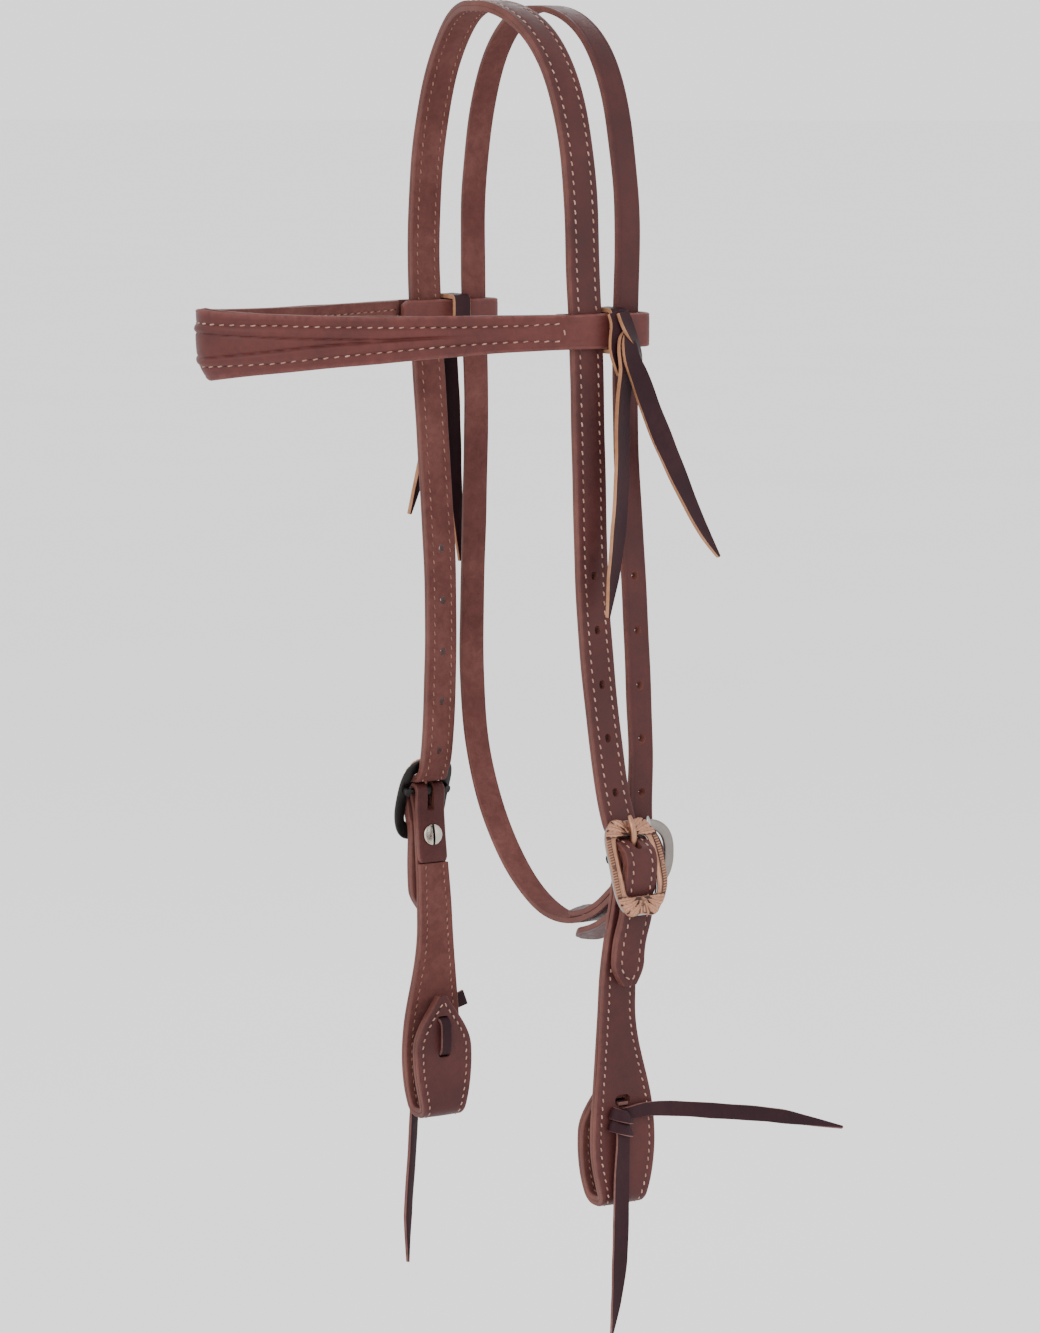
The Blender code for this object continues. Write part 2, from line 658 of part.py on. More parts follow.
# ============================================================== cheek straps
def cheek_middle(side):
    """Middle surface of a cheek strap, from the tip of the return tab, down,
    round the fold, and up the outer leaf to the bar.  Canonical side."""
    z0 = side["bar_z"]
    bottom = z0 - side["length"]          # lowest outer face of the fold
    r = (LOOP_GAP - LOOP_FLOOR) / 2
    cx, cz = 80.2, bottom + 2.55 + r
    a = np.radians(np.arange(180, 271, 22.5))
    fold = np.column_stack([cx - LOOP_FLOOR / 2 + r * np.cos(a), cz + r * np.sin(a)])
    fold = np.vstack([fold, fold[::-1] * (-1, 1) + (2 * cx, 0)])
    tab = np.array([(77.2, bottom + TAB_LENGTH), (76.0, bottom + TAB_LENGTH - 14),
                    (75.1, bottom + 33), (74.4, bottom + 20)])
    up = np.array([(86.2, bottom + 20), (85.9, bottom + 34), (85.2, bottom + 52),
                   (84.5, bottom + 74), (85.0, bottom + 98), (88.1, z0 - 30.0),
                   (90.0, z0 - 14.0), (BAR_X, z0)])
    p = spline(np.vstack([tab, fold, up]))
    low = int(np.argmin(np.abs(p[:, 0] - cx) + np.maximum(0, p[:, 1] - cz)))
    p[low - LOOP_REST - 1:low + LOOP_REST + 2, 1] = bottom + 2.55
    return np.column_stack([p[:, 0], np.zeros(len(p)), p[:, 1]])


def cheek_outline(side, z, inner_leaf):
    """Front and rear edge (y) of the strap at height z."""
    z0, bottom = side["bar_z"], side["bar_z"] - side["length"]
    rise = z - bottom
    y = side["cheek_y"] + (BAR_Y - side["cheek_y"]) * ease((z - z0 + 60) / 60)
    y = y + (side["paddle_y"] - side["cheek_y"]) * ease((95 - rise) / 50)
    w = CHEEK_WIDTH / 2 + CHEEK_FLARE * ease((z0 - 20 - z) / 50)
    p = side["paddle"] / 2
    f = FOLD_WIDTH / 2
    half = w + (p - w) * ease((98 - rise) / 66.0)
    half = np.where(rise < 32, f + (p - f) * np.sin(np.clip(rise / 32, 0, 1) * math.pi / 2), half)
    tip = TAB_LENGTH - rise
    tab = 2.2 + (p - 2.2) * np.sin(np.clip(tip / 27.0, 0, 1) * math.pi / 2) ** 1.15
    half = np.where(inner_leaf & (rise >= 32), np.minimum(tab, p), half)
    return y - half, y + half


def cheek(side):
    b = buckle_of(side)
    mid = cheek_middle(side)
    lowest = int(np.argmin(mid[:, 2])) + LOOP_REST + 1
    rest = (lowest - LOOP_REST, lowest + LOOP_REST)
    inner_leaf = np.arange(len(mid)) < lowest
    lo, hi = cheek_outline(side, mid[:, 2], inner_leaf)
    _, _, n = frames(mid, (0, 1, 0))
    off = GAP / 2 + FACE_PLY / 2
    below = np.linalg.norm(mid - np.array([BAR_X, 0, side["bar_z"]]), axis=1)
    below[:lowest] = 1e3
    spread = BAR_RADIUS + GAP + FACE_PLY / 2
    gap = off + (spread - off) * (0.5 + 0.5 * np.cos(math.pi * np.clip(below / 11.0, 0, 1)))
    outer = mid + gap[:, None] * n
    inner = mid - gap[:, None] * n
    end = len(mid) - 1
    heading = math.atan2(n[end, 2], n[end, 0])
    a = heading + np.radians(np.arange(10, 171, 10))
    centre = mid[end]
    wrap = np.column_stack([centre[0] + spread * np.cos(a), np.zeros(len(a)),
                            centre[2] + spread * np.sin(a)])
    stop = int(np.argmin(np.abs(below - CHAPE_LENGTH)))
    path = np.vstack([outer, wrap, inner[end:stop:-1]])
    lo_all = np.concatenate([lo, np.full(len(a), lo[end]), lo[end:stop:-1]])
    hi_all = np.concatenate([hi, np.full(len(a), hi[end]), hi[end:stop:-1]])
    tip = np.clip(run_length(path)[-1] - run_length(path), 0, 3.0) / 3.0
    middle = (lo_all + hi_all) / 2
    half = (hi_all - lo_all) / 2 * (0.86 + 0.14 * np.sin(tip * math.pi / 2))
    face = ribbon(path, (0, 1, 0), half - middle, half + middle, -FACE_PLY / 2,
                  FACE_PLY / 2, 0.6, 14.0, 26.0, rest)
    below_end = stop - 2
    lining = ribbon(mid[:below_end], (0, 1, 0), -lo[:below_end], hi[:below_end],
                    -GAP / 2 - LINING_PLY, -GAP / 2, 0.0, 14.0, 26.0, rest)
    # holes: the two of the tie, through both leaves of the loop
    bottom = side["bar_z"] - side["length"]
    cuts = []
    for k in (0, 1):
        z = bottom + TIE_HOLE_RISE + k * TIE_HOLES
        cuts.append(prism(np.array([80.4, side["tie_y"], z]), np.array([1.0, 0, 0]),
                          np.array([0, 0, 1.0]), np.array([0, 1.0, 0]),
                          stadium(6.6, 3.4, 12), 12.0))
    # the screw hole
    i = int(np.argmin(np.abs(below - SCREW_DROP)))
    screw_at = mid[i] + np.array([0, (lo[i] + hi[i]) / 2, 0])
    screw_n = n[i]
    cuts.append(prism(screw_at, screw_n, np.array([0, 1.0, 0]),
                      np.cross(screw_n, (0, 1, 0)), stadium(5.6, 5.6, 12), 5.0))
    c = Buckle(b.bar, 0.0)
    top_v = -(mid[end] - mid[i]) / np.linalg.norm(mid[end] - mid[i])
    c.v = top_v
    c.u = np.array([-top_v[2], 0, top_v[0]])
    cuts.append(slot_round_bar(c, 4.6, 12.0, 5.6, 5.4))
    return face, lining, join(*cuts), (screw_at, screw_n)


# ================================================================== hardware
def superellipse(phi, half_y, half_v, centre, power):
    c, s = np.cos(phi), np.sin(phi)
    y = half_y * np.sign(c) * np.abs(c) ** (2 / power)
    v = centre + half_v * np.sign(s) * np.abs(s) ** (2 / power)
    return y, v


def plate_back(v):
    t = (v - FRAME_TOP) / (FRAME_BOTTOM - FRAME_TOP)
    return -0.8 + t + FRAME_ARCH * np.sin(math.pi * np.clip(t, 0, 1))


def frame_ring(b, lift, thick, outer_grow, inner_grow, lobes, count):
    """A window frame that follows the arched plate of a cheek buckle."""
    phi = np.arange(count) * 2 * math.pi / count
    centre = (FRAME_TOP + FRAME_BOTTOM) / 2
    half_v = (FRAME_BOTTOM - FRAME_TOP) / 2
    yo, vo = superellipse(phi, FRAME_HALF + outer_grow, half_v + outer_grow, centre, 3.4)
    if lobes:
        # three leaf lobes along each end, small scallops down the rails
        rim = np.abs(np.sin(phi)) ** 3
        wave = 0.5 + 0.5 * np.cos(6 * (phi - math.pi / 2))
        yo = yo * (1 + lobes * (wave - 0.6) * rim * 0.08)
        vo = centre + (vo - centre) * (1 + lobes * (wave - 0.75) * rim * 0.06)
    wc = (WINDOW_TOP + WINDOW_BOTTOM) / 2
    yi, vi = superellipse(phi, WINDOW_HALF - inner_grow,
                          (WINDOW_BOTTOM - WINDOW_TOP) / 2 - inner_grow, wc, 9.0)
    rings = []
    for k in range(count):
        a = np.array([yi[k], vi[k]])
        o = np.array([yo[k], vo[k]])
        section = []
        for f, h in ((0.0, 0.0), (1.0, 0.0), (1.0, 0.62), (0.72, 1.0), (0.28, 1.0),
                     (0.0, 0.62)):
            y, v = a + f * (o - a)
            section.append(b.point(v, plate_back(v) + lift + h * thick, y))
        rings.append(np.array(section))
    return skin(rings, closed=True)


def cheek_buckle(side):
    b = buckle_of(side)
    plate = frame_ring(b, 0.0, FRAME_PLATE, 0.0, 0.0, 0, 40)
    bar = bar_rod(b, BAR_RADIUS, 11.2)
    lugs = []
    for y in (-11.2, 11.2):
        lug = box((-2.2, y - 1.9, -1.35), (2.2, y + 1.9, plate_back(0.0) + 0.9))
        lugs.append(local_box(b, lug))
    overlay = frame_ring(b, FRAME_PLATE + GAP, OVERLAY, -0.5, -0.35, 1, 48)
    return plate, bar, lugs, overlay


def local_box(b, part):
    """A box given in (v, y, u) put into the buckle's frame."""
    v, f = part
    return np.array([b.point(p[0], p[2], p[1]) for p in v]), f


def bar_rod(b, radius, half, sides=12):
    rings = []
    for y in (-half, half):
        a = (np.arange(sides) + 0.5) * 2 * math.pi / sides
        rings.append(np.array([b.point(radius * math.cos(t), radius * math.sin(t), y)
                               for t in a]))
    return skin(rings)


def tongue(b, bar_radius, shaft, radius, width):
    """A ring round the bar and a rod that rests on the top bar."""
    inner, outer = bar_radius + GAP, bar_radius + GAP + 1.3
    count, rings = 20, []
    for k in range(count):
        a = 2 * math.pi * k / count
        rings.append(np.array([b.point(r * math.cos(a), r * math.sin(a), y)
                               for r, y in ((inner, -width / 2), (outer, -width / 2),
                                            (outer, width / 2), (inner, width / 2))]))
    ring = skin(rings, closed=True)
    path = spline(b.point([p[0] for p in shaft], [p[1] for p in shaft]))
    s = run_length(path)
    taper = radius * (0.55 + 0.45 * np.sin(np.clip((s[-1] - s) / 3.0, 0, 1) * math.pi / 2))
    rod = tube(path, taper, 10, 16.0)
    return ring, rod


CHEEK_TONGUE = ((-1.4, 2.05), (-4.1, 3.75), (-9.2, 6.0), (-13.5, 5.6), (-19.0, 4.6))
THROAT_TONGUE = ((-1.4, 2.2), (-4.6, 3.3), (-9.5, 4.3), (-15.0, 4.15), (-20.0, 3.6))


def throat_frame(b):
    """Plain oval wire buckle with a middle bar."""
    count = 40
    phi = np.arange(count) * 2 * math.pi / count
    yo, vo = superellipse(phi, 15.8, 18.0, 0.0, 2.5)
    yi, vi = superellipse(phi, 11.6, 13.6, 0.0, 2.7)
    rings = []
    for k in range(count):
        a, o = np.array([yi[k], vi[k]]), np.array([yo[k], vo[k]])
        section = []
        for f, h in ((0.12, -1.0), (0.88, -1.0), (1.0, -0.3), (1.0, 0.3), (0.8, 1.0),
                     (0.2, 1.0), (0.0, 0.3), (0.0, -0.3)):
            y, v = a + f * (o - a)
            lift = 1.3 * math.cos(math.pi * np.clip(v / 36.0, -0.5, 0.5))
            section.append(b.point(v, lift - 0.3 + h * 1.25, y))
        rings.append(np.array(section))
    ring = skin(rings, closed=True)
    return ring, bar_rod(b, 1.5, 13.4)


def screw(centre, normal, stack, sign=1.0, head=5.2):
    """A two-piece screw: post with its head outside, screw head inside.
    stack is half the thickness it holds."""
    z = unit(np.asarray(normal, float))
    y = np.array([0, 1.0, 0])
    x = np.cross(y, z)
    top = stack + GAP
    post = [(0, top + 1.2), (head * 0.55, top + 1.15), (head * 0.9, top + 0.85),
            (head, top + 0.45), (head, top), (2.35, top), (2.35, -stack + 0.1),
            (1.7, -stack + 0.1), (1.7, top - 0.4), (0, top - 0.4)]
    low = -stack - GAP
    slotted = [(0, low - 1.4), (head * 0.6, low - 1.35), (head * 0.92, low - 0.95),
               (head, low - 0.5), (head, low), (1.4, low), (1.4, top - 1.2),
               (0, top - 1.2)]
    post = placed(turned(post), centre, x, y, z)
    head_part = placed(turned(slotted), centre, x, y, z)
    cut = box((-0.55, -head - 1, low - 2.2), (0.55, head + 1, low - 0.75))
    cut = placed(cut, centre, y, x, z)
    return [mirrored(p, sign) for p in (post, head_part, cut)]


# ====================================================================== ties
def lace(points, half, thick=LACE_THICK, facing=(1, 0, 0), turn=12.0, longest=30.0):
    """A flat lace along a path; its flat side faces the given direction.
    half is one half-width, or one for each control point."""
    points = np.asarray(points, float)
    path = spline(points)
    s = run_length(path)
    marks = run_length(points)
    marks = marks / marks[-1] * s[-1]
    half = np.broadcast_to(np.asarray(half, float), len(points))
    width = np.interp(s, marks, half)
    tangent = unit(np.gradient(path, axis=0))
    facing = np.broadcast_to(np.asarray(facing, float), path.shape)
    lateral = unit(np.cross(tangent, facing))
    normal = unit(np.cross(lateral, tangent))
    index = choose(path, normal, turn, longest, width * 2)
    rings = []
    for i in index:
        p, b, m, w = path[i], lateral[i], normal[i], width[i]
        rings.append(np.array([p + a * b + h * m for a, h in
                               ((-w, -thick / 2), (w, -thick / 2), (w, thick / 2),
                                (-w, thick / 2))]))
    return skin(rings)


def brow_ring():
    """The lace round both layers of the browband, between the two straps."""
    x0, x1 = 61.2, BAND_SIDE_X + 0.5
    z0, z1 = BAND_BOTTOM - 0.4, BAND_TOP + 0.4
    t, r = LACE_THICK / 2, 2.0
    x0, x1, z0, z1 = x0 - t, x1 + t, z0 - t, z1 + t
    path = []
    for cx, cz, a0 in ((x1 - r, z1 - r, 0), (x0 + r, z1 - r, 90), (x0 + r, z0 + r, 180),
                       (x1 - r, z0 + r, 270)):
        for a in np.radians(np.arange(a0, a0 + 91, 30)):
            path.append((cx + r * math.cos(a), TIE_Y, cz + r * math.sin(a)))
    path = np.array(path)
    centre = path.mean(axis=0)
    rings = []
    n = len(path)
    for i in range(n):
        tangent = unit(path[(i + 1) % n] - path[i - 1])
        normal = np.cross((0, 1, 0), tangent)
        normal = normal if normal @ (path[i] - centre) > 0 else -normal
        w = BROW_LACE / 2
        rings.append(np.array([path[i] + np.array([0, a, 0]) + h * normal for a, h in
                               ((-w, -t), (w, -t), (w, t), (-w, t))]))
    return skin(rings, closed=True)


def brow_tie(side):
    near = side is NEAR
    pieces = [brow_ring()]
    if near:
        right = lace(((78.7, 16.6, -138.5), (81.0, 19.5, -142.5), (82.7, 24.5, -149.5),
                      (82.6, 27.2, -158.0), (82.6, 31.3, -170.0), (82.8, 43.0, -193.0),
                      (83.0, 56.5, -219.0), (83.0, 68.6, -240.5), (83.0, 75.8, -251.0)),
                     (4.2, 4.7, 4.7, 4.6, 4.6, 4.9, 4.8, 3.4, 1.2))
        down = lace(((78.7, 31.2, -139.5), (80.0, 29.5, -143.5), (80.9, 25.5, -150.5),
                     (80.6, 24.0, -158.0), (81.0, 24.8, -170.0), (81.0, 23.2, -200.0),
                     (81.0, 22.3, -238.0), (81.0, 19.6, -258.0), (81.0, 16.9, -274.0)),
                    (4.2, 4.7, 4.7, 4.6, 4.6, 4.8, 4.7, 3.6, 1.0))
        across = lace(((78.4, 15.6, -152.0), (81.6, 17.2, -152.5), (83.9, 23.5, -151.5),
                       (82.4, 30.4, -149.5), (78.4, 31.8, -148.5)), 4.3,
                      facing=(1, 0, 0))
        pieces += [right, down, across]
    else:
        first = lace(((78.7, 16.6, -138.5), (80.6, 19.5, -143.0), (81.6, 24.5, -150.5),
                      (80.9, 28.0, -162.0), (80.3, 29.8, -180.0), (80.0, 31.6, -215.0),
                      (80.0, 32.6, -243.0), (80.0, 34.0, -266.0)),
                     (4.2, 4.7, 4.7, 4.4, 3.6, 3.2, 2.8, 1.0))
        second = lace(((78.7, 31.2, -139.5), (79.8, 28.5, -143.5), (80.2, 23.5, -151.0),
                       (80.4, 20.8, -165.0), (80.2, 18.4, -190.0), (80.0, 13.6, -214.0),
                       (80.0, 9.0, -231.0), (80.0, 5.9, -241.5)),
                      (4.2, 4.7, 4.7, 4.5, 3.8, 2.8, 1.9, 0.9))
        across = lace(((78.4, 15.6, -151.5), (81.6, 17.2, -151.5), (83.2, 23.5, -150.5),
                       (82.0, 30.4, -149.5), (78.4, 31.8, -148.5)), 4.3)
        pieces += [first, second, across]
    return [mirrored(p, side["sign"]) for p in pieces]


def bit_tie(side):
    """Lace through the two pairs of holes, knotted on the outer leaf."""
    near = side is NEAR
    bottom = side["bar_z"] - side["length"]
    low = bottom + TIE_HOLE_RISE
    high = low + TIE_HOLES
    y = side["tie_y"]
    inner = 70.6
    outer = 89.9
    t = 2.0
    pieces = [box((inner - t / 2, y - 2.6, low - 1.0), (inner + t / 2, y + 2.6, high + 1.0))]
    for z in (low, high):
        pieces.append(box((inner - 0.4, y - 2.5, z - 0.9), (outer + 0.2, y + 2.5, z + 0.9)))
    pieces.append(box((outer - 0.9, y - 3.6, low - 1.6), (outer + 1.3, y + 3.6, high + 1.6)))
    if near:
        pieces.append(lace(((90.4, 15.9, high - 3.0), (92.2, 19.0, high - 4.0),
                            (92.4, 24.0, high - 3.6), (91.3, 35.0, high - 3.9),
                            (91.0, 72.0, high - 9.6), (91.0, 108.5, high - 16.6),
                            (91.0, 145.0, high - 26.0)),
                           (2.6, 3.0, 3.0, 3.1, 3.2, 3.1, 0.9)))
        pieces.append(lace(((90.4, 26.2, low + 7.0), (92.0, 23.0, low + 5.6),
                            (92.2, 19.8, low + 1.5), (91.2, 19.4, low - 6.0),
                            (91.0, 18.9, low - 30.0), (91.0, 18.0, low - 60.0),
                            (91.0, 15.6, low - 78.0), (91.0, 13.5, low - 92.0)),
                           (3.0, 3.6, 3.7, 3.6, 4.0, 4.1, 2.6, 0.9)))
    else:
        pieces.append(lace(((90.4, 15.9, high - 3.0), (92.0, 19.0, high - 3.4),
                            (92.2, 24.0, high - 2.0), (91.2, 31.0, high + 1.5),
                            (90.9, 38.0, high + 4.2), (90.4, 43.6, high + 6.3)),
                           (2.6, 3.2, 3.2, 3.3, 3.6, 4.0)))
        pieces.append(lace(((90.4, 25.8, low + 7.0), (91.8, 22.0, low + 5.0),
                            (91.8, 18.5, low - 1.0), (91.2, 15.6, low - 16.0),
                            (91.0, 14.0, low - 33.0), (91.0, 12.6, low - 55.0),
                            (91.0, 10.4, low - 84.0), (91.0, 10.3, low - 109.0)),
                           (3.0, 3.4, 3.4, 3.1, 3.0, 2.9, 2.6, 0.9)))
    return [mirrored(p, side["sign"]) for p in pieces]


# ================================================================== assembly
def clear_scene():
    for obj in list(bpy.data.objects):
        bpy.data.objects.remove(obj, do_unlink=True)


def union_all(name, pieces, mat):
    """One solid from several overlapping shapes."""
    obj = build_mesh(name, *pieces[0], mat)
    for k, part in enumerate(pieces[1:]):
        boolean(obj, guide(f"{name}_add{k}", part), "UNION")
    return obj


def main():
    clear_scene()
    band_axis = (0, TIE_Y, (BAND_TOP + BAND_BOTTOM) / 2)
    grain = material("leather_grain", (0.105, 0.034, 0.027), 0.48)
    flesh = material("leather_lining", (0.16, 0.06, 0.04), 0.7)
    latigo = material("latigo", (0.04, 0.022, 0.024), 0.55)
    steel = material("steel", (0.42, 0.40, 0.38), 0.35, 1.0)
    copper = material("copper", (0.62, 0.34, 0.22), 0.32, 1.0)

    face, lining, cut = crown()
    cut = guide("crown_holes", cut)
    for name, part, mat in (("crown_strap_face", face, grain),
                            ("crown_strap_lining", lining, flesh)):
        boolean(build_mesh(name, *part, mat), cut, "DIFFERENCE")

    strap, cut, slot, throat_screw = throat()
    obj = build_mesh("throatlatch_strap", *strap, grain)
    boolean(obj, guide("throat_holes", cut), "DIFFERENCE")
    boolean(obj, guide("throat_tongue_slot", slot), "DIFFERENCE")

    face, lining = browband()
    set_origin(build_mesh("browband_face", *face, grain), band_axis)
    set_origin(build_mesh("browband_lining", *lining, flesh), band_axis)

    b = Buckle(THROAT_BAR, THROAT_BUCKLE_TILT)
    union_all("throat_buckle_frame", throat_frame(b), steel)
    obj = union_all("throat_buckle_tongue", tongue(b, 1.5, THROAT_TONGUE, 1.3, 2.8), steel)
    set_origin(obj, THROAT_BAR)
    centre, normal = throat_screw
    post, head, cut = screw(centre, normal, THROAT_THICK + 0.4)
    build_mesh("throat_screw_post", *post, steel)
    obj = build_mesh("throat_screw_head", *head, steel)
    boolean(obj, guide("throat_screw_slot", cut), "DIFFERENCE")

    for label, side in (("near", NEAR), ("far", FAR)):
        sign = side["sign"]
        bar_axis = (sign * BAR_X, BAR_Y, side["bar_z"])
        face, lining, cut, (centre, normal) = cheek(side)
        cut = guide(f"{label}_cheek_holes", mirrored(cut, sign))
        for name, part, mat in ((f"{label}_cheek_face", face, grain),
                                (f"{label}_cheek_lining", lining, flesh)):
            obj = build_mesh(name, *mirrored(part, sign), mat)
            boolean(obj, cut, "DIFFERENCE")
            set_origin(obj, bar_axis)
        plate, bar, lugs, overlay = cheek_buckle(side)
        union_all(f"{label}_cheek_buckle_frame",
                  [mirrored(p, sign) for p in (plate, bar, *lugs)], steel)
        build_mesh(f"{label}_cheek_buckle_face", *mirrored(overlay, sign), copper)
        bk = buckle_of(side)
        obj = union_all(f"{label}_cheek_buckle_tongue",
                        [mirrored(p, sign) for p in
                         tongue(bk, BAR_RADIUS, CHEEK_TONGUE, 1.3, 2.8)], copper)
        set_origin(obj, bar_axis)
        post, head, cut = screw(centre, normal, 2.55, sign)
        set_origin(build_mesh(f"{label}_cheek_screw_post", *post, steel), bar_axis)
        obj = build_mesh(f"{label}_cheek_screw_head", *head, steel)
        boolean(obj, guide(f"{label}_screw_slot", cut), "DIFFERENCE")
        set_origin(obj, bar_axis)
        set_origin(union_all(f"{label}_brow_tie", brow_tie(side), latigo), band_axis)
        set_origin(union_all(f"{label}_bit_tie", bit_tie(side), latigo), bar_axis)


main()
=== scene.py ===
"""Looks of the western headstall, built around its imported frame.

Lengths are in millimetres in the design functions and are scaled once, when a
mesh is made.  +Z up, the horse faces -Y, its near side is +X.
"""

import math

import bmesh
import bpy
import numpy as np
from mathutils import Matrix, Vector


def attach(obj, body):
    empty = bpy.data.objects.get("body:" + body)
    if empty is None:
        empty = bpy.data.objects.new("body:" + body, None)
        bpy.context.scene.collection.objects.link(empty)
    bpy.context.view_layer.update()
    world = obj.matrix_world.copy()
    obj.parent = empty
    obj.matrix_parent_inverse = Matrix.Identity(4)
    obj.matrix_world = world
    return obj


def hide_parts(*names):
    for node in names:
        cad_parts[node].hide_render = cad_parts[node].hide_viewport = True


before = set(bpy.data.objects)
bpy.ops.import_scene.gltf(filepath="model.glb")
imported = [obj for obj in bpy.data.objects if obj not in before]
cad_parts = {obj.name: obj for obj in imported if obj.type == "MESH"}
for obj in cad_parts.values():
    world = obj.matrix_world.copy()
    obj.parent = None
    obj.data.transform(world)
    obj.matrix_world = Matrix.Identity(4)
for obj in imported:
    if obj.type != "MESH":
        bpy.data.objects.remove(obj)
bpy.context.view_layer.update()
MM = 0.001

# ------------------------------------------------------------- driving values
CROWN_WIDTH, CROWN_THICK = 15.9, 4.9
POLL_REACH, POLL_POWER, SIDE_ANGLE = 63.0, 1.28, 92.3
FLARE_START, FLARE_RATE = 273.0, 0.113
CROWN_BACK, CROWN_BACK_REACH = 8.3, 38.0
CROWN_LEAN, CROWN_LEAN_START = 0.05, 155.0
HOLE_PITCH, HOLE_FIRST, HOLE_DIAMETER, HOLES_OPEN = 25.4, 297.0, 4.2, 5
BUCKLE_SQUEEZE = 3.6

THROAT_WIDTH, THROAT_THICK = 12.7, 2.8
THROAT_REACH, THROAT_POWER, THROAT_SIDE_ANGLE = 59.5, 1.43, 91.3
THROAT_RATE, THROAT_FLARE_START = 0.029, 150.0
THROAT_Y, THROAT_BACK, THROAT_BACK_REACH = 30.8, 3.6, 33.0
THROAT_LEAN, THROAT_LEAN_START = 0.02, 188.0
SLACK_WAVE, SLACK_LENGTH, SLACK_CREST = 1.5, 195.0, 222.0
THROAT_HOLE_FIRST = 296.5
LOOP_POINTS = ((-64.8, -366.0), (-48.5, -394.5), (-25.0, -417.0), (0.0, -428.5),
               (30.0, -427.5), (50.0, -418.5), (61.5, -410.0))
THROAT_BAR = (77.5, 39.0, -389.0)
THROAT_PULL, THROAT_TAIL, THROAT_FOLD, FOLD_LIFT = 36.0, 72.0, 78.0, 0.1

BAND_DEPTH, BAND_SIDE_X = 151.2, 76.8
BAND_PLY, BAND_LINING = 2.6, 2.2
BAND_TOP, BAND_BOTTOM = -137.3, -153.0
BAND_FRONT_RISE, BAND_FRONT_DROP = 3.6, 13.6
BAND_END_SLACK = (0.0, 2.6)
LINING_ENDS = (-2.7, -7.2)

FACE_PLY, LINING_PLY, GAP = 2.4, 2.4, 0.3
CHEEK_WIDTH, CHEEK_FLARE = 15.9, 1.1
BAR_X, BAR_Y, BAR_RADIUS = 91.7, 22.2, 1.4
CHAPE_LENGTH, SCREW_DROP = 36.0, 22.0
LOOP_GAP, FOLD_WIDTH, TAB_LENGTH = 12.0, 22.0, 61.0
TIE_HOLES, TIE_HOLE_RISE, LOOP_FLOOR, LOOP_REST = 17.0, 32.5, 3.0, 2

FRAME_TILT = 19.0
FRAME_TOP, FRAME_BOTTOM, FRAME_HALF = -17.5, 28.0, 14.7
WINDOW_TOP, WINDOW_BOTTOM, WINDOW_HALF = -9.3, 19.0, 9.0
FRAME_PLATE, FRAME_ARCH, OVERLAY = 2.0, 2.7, 1.1

NEAR = dict(sign=1.0, bar_z=-386.9, length=166.0, tie_y=21.0, cheek_y=19.2,
            paddle=33.5, paddle_y=22.2)
FAR = dict(sign=-1.0, bar_z=-380.9, length=162.0, tie_y=20.6, cheek_y=22.6,
           paddle=31.5, paddle_y=20.9)

THREAD = ((-13.2, -3.2), (-10.4, -2.6), (-7.5, -1.1), (-5.8, 2.4), (-3.2, 5.75),
          (0.0, 7.25), (4.8, 6.9), (9.8, 4.3), (14.6, 1.2), (18.6, -1.6),
          (23.6, -3.6))
SLOT_ANGLE = 53.0
CHEEK_TONGUE = ((-1.4, 2.05), (-3.9, 3.4), (-7.4, 5.3), (-10.5, 6.2), (-13.6, 6.05),
                (-17.8, 5.35))
THROAT_TONGUE = ((-1.4, 2.2), (-4.6, 3.3), (-9.5, 4.1), (-14.4, 3.7), (-17.6, 3.0))

TIE_Y = 23.0
LACE_THICK = 2.2
BIT_LACE = ("latigo", "latigo", "dyed_edge")

CROWN_PITCH, CHEEK_PITCH, BAND_PITCH = 4.4, 3.8, 4.8     # from one stitch to the next
STITCH_SHOW = 0.54                                       # of the pitch
STITCH_INSET = 3.2
THREAD_RADIUS = 0.40


# ============================================================ curve functions
def unit(v):
    v = np.asarray(v, float)
    return v / np.maximum(np.linalg.norm(v, axis=-1, keepdims=True), 1e-12)


def spline(points, step=0.5):
    """Natural cubic through the points, sampled about every step."""
    p = np.asarray(points, float)
    t = np.concatenate([[0], np.cumsum(np.linalg.norm(np.diff(p, axis=0), axis=1))])
    n, h = len(p), np.diff(t)
    a, r = np.eye(n), np.zeros_like(p)
    for i in range(1, n - 1):
        a[i, i - 1], a[i, i], a[i, i + 1] = h[i - 1], 2 * (h[i - 1] + h[i]), h[i]
        r[i] = 6 * ((p[i + 1] - p[i]) / h[i] - (p[i] - p[i - 1]) / h[i - 1])
    m = np.linalg.solve(a, r)
    out = []
    for i in range(n - 1):
        k = max(2, int(round(h[i] / step)))
        u = np.arange(k)[:, None] / k
        q = (1 - u) * p[i] + u * p[i + 1]
        q += h[i] ** 2 / 6 * (((1 - u) ** 3 - (1 - u)) * m[i] + (u ** 3 - u) * m[i + 1])
        out.append(q)
    return np.vstack(out + [p[-1:]])


def run_length(p):
    return np.concatenate([[0], np.cumsum(np.linalg.norm(np.diff(p, axis=0), axis=1))])


def at(p, s):
    d = run_length(p)
    return np.stack([np.interp(s, d, p[:, k]) for k in range(p.shape[1])], axis=-1)


def ease(x):
    x = np.clip(x, 0, 1)
    return x * x * (3 - 2 * x)


def hanging(reach, power, side_angle, flare_start, rate, top, length, step=0.5):
    """(x, z) of half a strap over the poll: level, turning down, then opening."""
    s = np.arange(0, length + step, step)
    angle = side_angle * (1 - np.exp(-((s / reach) ** power)))
    angle = np.radians(angle - rate * np.maximum(0, s - flare_start))
    mid = (angle[1:] + angle[:-1]) / 2
    x = np.concatenate([[0], np.cumsum(np.cos(mid) * step)])
    z = top - np.concatenate([[0], np.cumsum(np.sin(mid) * step)])
    return s, x, z


